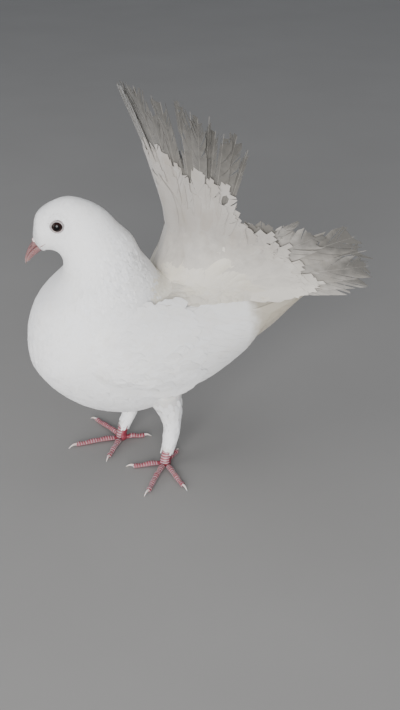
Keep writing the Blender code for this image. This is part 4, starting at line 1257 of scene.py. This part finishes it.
# Feet
def makeFoot(name):
    toes = feet[name]
    start = np.array(legs[name][0], float)
    flesh = []
    scutes = Coat()
    cellCount = 0
    for toe, (end, claw) in toes.items():
        end, claw = np.array([*end, 0.0]), np.array([*claw, 0.0])
        length = np.linalg.norm(end - start)
        direction = (end - start) / length
        aside = np.array([direction[1], -direction[0], 0.0])
        wide, narrow = feet["halfWidths"]
        joints = max(2, round(length / 11))

        def radiusAt(t):
            knuckles = 1 + 0.10 * np.cos(t * joints * 2 * pi)
            return (wide + (narrow - wide) * t) * knuckles * np.clip((1.06 - t) * 12, 0.75, 1)

        def toePoints(t, turn, grow):
            t, turn, grow = np.broadcast_arrays(t, turn, grow)
            radius = radiusAt(t)
            bend = 0.7 * np.sin(pi * t) * math.sin(length * 3.1)
            lift = radius * 0.92 + 0.9 * np.sin(pi * np.clip(t * 1.1, 0, 1)) ** 2
            height = lift + (radius + grow) * np.cos(turn)
            # the pads press flat on the ground
            height = np.maximum(height, 0.05 + 0.25 * np.abs(np.sin(t * joints * pi)))
            flat = start + direction * (t * length)[..., None]
            flat = flat + aside * (bend + (radius + grow) * np.sin(turn))[..., None]
            return flat + np.array([0, 0, 1.0]) * height[..., None]

        turns = circle(18)
        flesh.append(tube([toePoints(t, turns, 0.0) for t in np.linspace(0.02, 1.0, 40)]))
        first = 5.5 / length
        count = round((1 - first) * length / feet["scuteLength"])
        for k in range(count):
            near, far = first + (1.02 - first) * k / count, first + (1.02 - first) * (k + 1.12) / count
            u, w = np.meshgrid(np.linspace(0, 1, 5), np.linspace(-1.85, 1.85, 13), indexing="ij")
            t = near + (far - near) * u + (0.10 * (far - near)) * np.cos(w * 1.4)
            rise = 0.12 + 0.24 * u**1.5 + 0.08 * np.sin(pi * u)
            rise = rise * np.clip((1.95 - np.abs(w)) * 2, 0.2, 1)
            upper, lower = toePoints(t, w, rise), toePoints(t, w, rise * 0 - 0.1)
            white = np.clip((u - 0.62) * 3, 0, 1) * np.clip(draw.uniform(0.5, 1.2), 0, 1) + 0 * w
            white = np.maximum(white, np.clip((np.abs(w) - 1.45) * 2.5, 0, 1) * 0.7)
            cell = (0.03 + 0.047 * (cellCount % 20), 0.03 + 0.09 * (cellCount // 20))
            maps = np.stack([cell[0] + 0.02 * (w / 3.8), cell[1] + 0.03 * u], -1)
            marks = np.stack([0 * u, draw.uniform(0, 1) + 0 * u, white], -1)
            scutes.addPlate(upper, lower, plateFaces(5, 13)[:, ::-1], maps, marks)
            cellCount += 1

        # the claw
        heading = (claw - end) / np.linalg.norm(claw - end)
        rings = []
        for t in np.linspace(0, 1, 12):
            radius = 1.25 * (1 - t) ** 0.7 + 0.10
            way = direction + (heading - direction) * t
            way /= np.linalg.norm(way)
            across = np.array([way[1], -way[0], 0.0])
            spot = end - direction * 0.6 + heading * (np.linalg.norm(claw - end) * t)
            height = 1.75 + feet["clawRise"] * math.sin(pi * t) * 0.8 - 1.5 * t
            a = circle(14)
            rings.append(spot + across * (radius * 0.8 * np.sin(a))[:, None] +
                         np.array([0, 0, 1.0]) * np.maximum(height + radius * np.cos(a), 0.03)[:, None])
        points, faces = tube(rings)
        tones = np.concatenate([np.repeat(np.linspace(0, 1, 12), 14), [0, 1]])
        piece = marked(f"horn_{name}_{toe}", points, faces, tones, clawHorn)
        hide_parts(f"claw_{name}_{toe}")

    # the ball of the foot and the shank
    heights = np.linspace(0.4, feet["shankTop"], 26)
    turns = circle(30)
    path = np.array(legs[name], float)

    def shankPoints(height, turn, grow):
        height, turn, grow = np.broadcast_arrays(height, turn, grow)
        x = np.interp(height, path[:, 2], path[:, 0])
        y = np.interp(height, path[:, 2], path[:, 1])
        radius = np.interp(height, (0, 1.5, 3, 6, 12, 18), (3.4, 4.3, 4.3, 4.0, 4.2, 4.3)) + grow
        return np.stack([x + radius * np.cos(turn), y + radius * np.sin(turn), height], -1)

    flesh.append(tube([shankPoints(h, turns, 0.0) for h in heights]))
    front = shankFront(name)
    h = 3.6
    while h < feet["shankTop"] - 2.4:
        u, w = np.meshgrid(np.linspace(0, 1, 5), np.linspace(-1, 1, 13), indexing="ij")
        height = h + 2.5 * (1 - u) + 0.25 * np.cos(w * 1.5) * (1 - u)
        turn = front + w * feet["stripHalf"] * 1.5
        rise = (0.12 + 0.30 * u**1.5) * np.clip((1.05 - np.abs(w)) * 3, 0.15, 1)
        upper, lower = shankPoints(height, turn, rise), shankPoints(height, turn, 0 * rise - 0.1)
        white = np.clip((u - 0.62) * 3, 0, 1) + 0 * w
        cell = (0.03 + 0.047 * (cellCount % 20), 0.03 + 0.09 * (cellCount // 20))
        maps = np.stack([cell[0] + 0.02 * w / 2, cell[1] + 0.03 * u], -1)
        marks = np.stack([0 * u, draw.uniform(0, 1) + 0 * u, white], -1)
        scutes.addPlate(upper, lower, plateFaces(5, 13), maps, marks)
        cellCount += 1
        h += 2.15
    points, faces = joined(flesh)
    piece = marked("footFlesh_" + name, points, faces, draw.uniform(0, 1, len(points)), redScutes, 0)
    piece = scutes.build("footScutes_" + name, redScutes)
    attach(piece, "root")
    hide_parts("foot_" + name, *(f"toe_{name}_{toe}" for toe in toes))


makeFoot("left")
makeFoot("right")
print("feet ready")

# Floor, light and camera
camera = {
    "azimuth": 60.0, "elevation": 27.0, "distance": 850.0, "target": (0.0, 53.5, 73.4), "sensor": 36.0,
    "scale": 0.82, "frameHeight": 710,  # mm of bird for each pixel, and the picture's height in pixels
}
room = {
    "floorHalf": 4, "floorTones": ((0.235, 0.228, 0.22), (0.265, 0.258, 0.25)),
    # place and size in m and power in W of each light
    "lights": {"key": ((1.30, -0.95, 0.48), 1.1, 43), "front": ((-0.3, -1.6, 0.6), 1.2, 10),
               "above": ((-0.4, 0.4, 1.9), 1.6, 5)},
    "sky": (0.80, 0.84, 0.90, 1), "skyStrength": 0.5,
}


def makeStage():
    half, level = room["floorHalf"], cadBox[0][2]
    mesh = bpy.data.meshes.new("floor")
    corners = [(x * half, y * half, level) for x, y in ((-1, -1), (1, -1), (1, 1), (-1, 1))]
    mesh.from_pydata(corners, [], [(0, 1, 2, 3)])
    floor = bpy.data.objects.new("floor", mesh)
    bpy.context.scene.collection.objects.link(floor)
    made = Finish("paleFloor", 0.8)
    made.feed("Base Color", made.mix(made.noise(6.0), *room["floorTones"]))
    mesh.materials.append(made.material)
    for name, (spot, size, power) in room["lights"].items():
        light = bpy.data.lights.new(name, "AREA")
        light.shape, light.size, light.energy = "DISK", size, power
        lamp = bpy.data.objects.new(name, light)
        lamp.location = spot
        lamp.rotation_euler = (Vector((0, 0, 0.12)) - Vector(spot)).to_track_quat("-Z", "Y").to_euler()
        bpy.context.scene.collection.objects.link(lamp)
    world = bpy.data.worlds.new("softRoom")
    world.use_nodes = True
    world.node_tree.nodes["Background"].inputs["Color"].default_value = room["sky"]
    world.node_tree.nodes["Background"].inputs["Strength"].default_value = room["skyStrength"]
    bpy.context.scene.world = world


def makeCamera():
    a, e = math.radians(camera["azimuth"]), math.radians(camera["elevation"])
    away = np.array([math.sin(a) * math.cos(e), -math.cos(a) * math.cos(e), math.sin(e)])
    target = (np.array(camera["target"]) + birdShift) * mm
    spot = target + away * camera["distance"] * mm
    data = bpy.data.cameras.new("camera")
    data.sensor_fit = "VERTICAL"
    data.sensor_height = camera["sensor"]
    data.lens = camera["sensor"] * camera["distance"] / (camera["frameHeight"] * camera["scale"])
    data.clip_start = 0.01
    made = bpy.data.objects.new("camera", data)
    made.location = spot
    made.rotation_euler = (Vector(target) - Vector(spot)).to_track_quat("-Z", "Y").to_euler()
    bpy.context.scene.collection.objects.link(made)
    bpy.context.scene.camera = made


makeStage()
makeCamera()
print("stage ready")
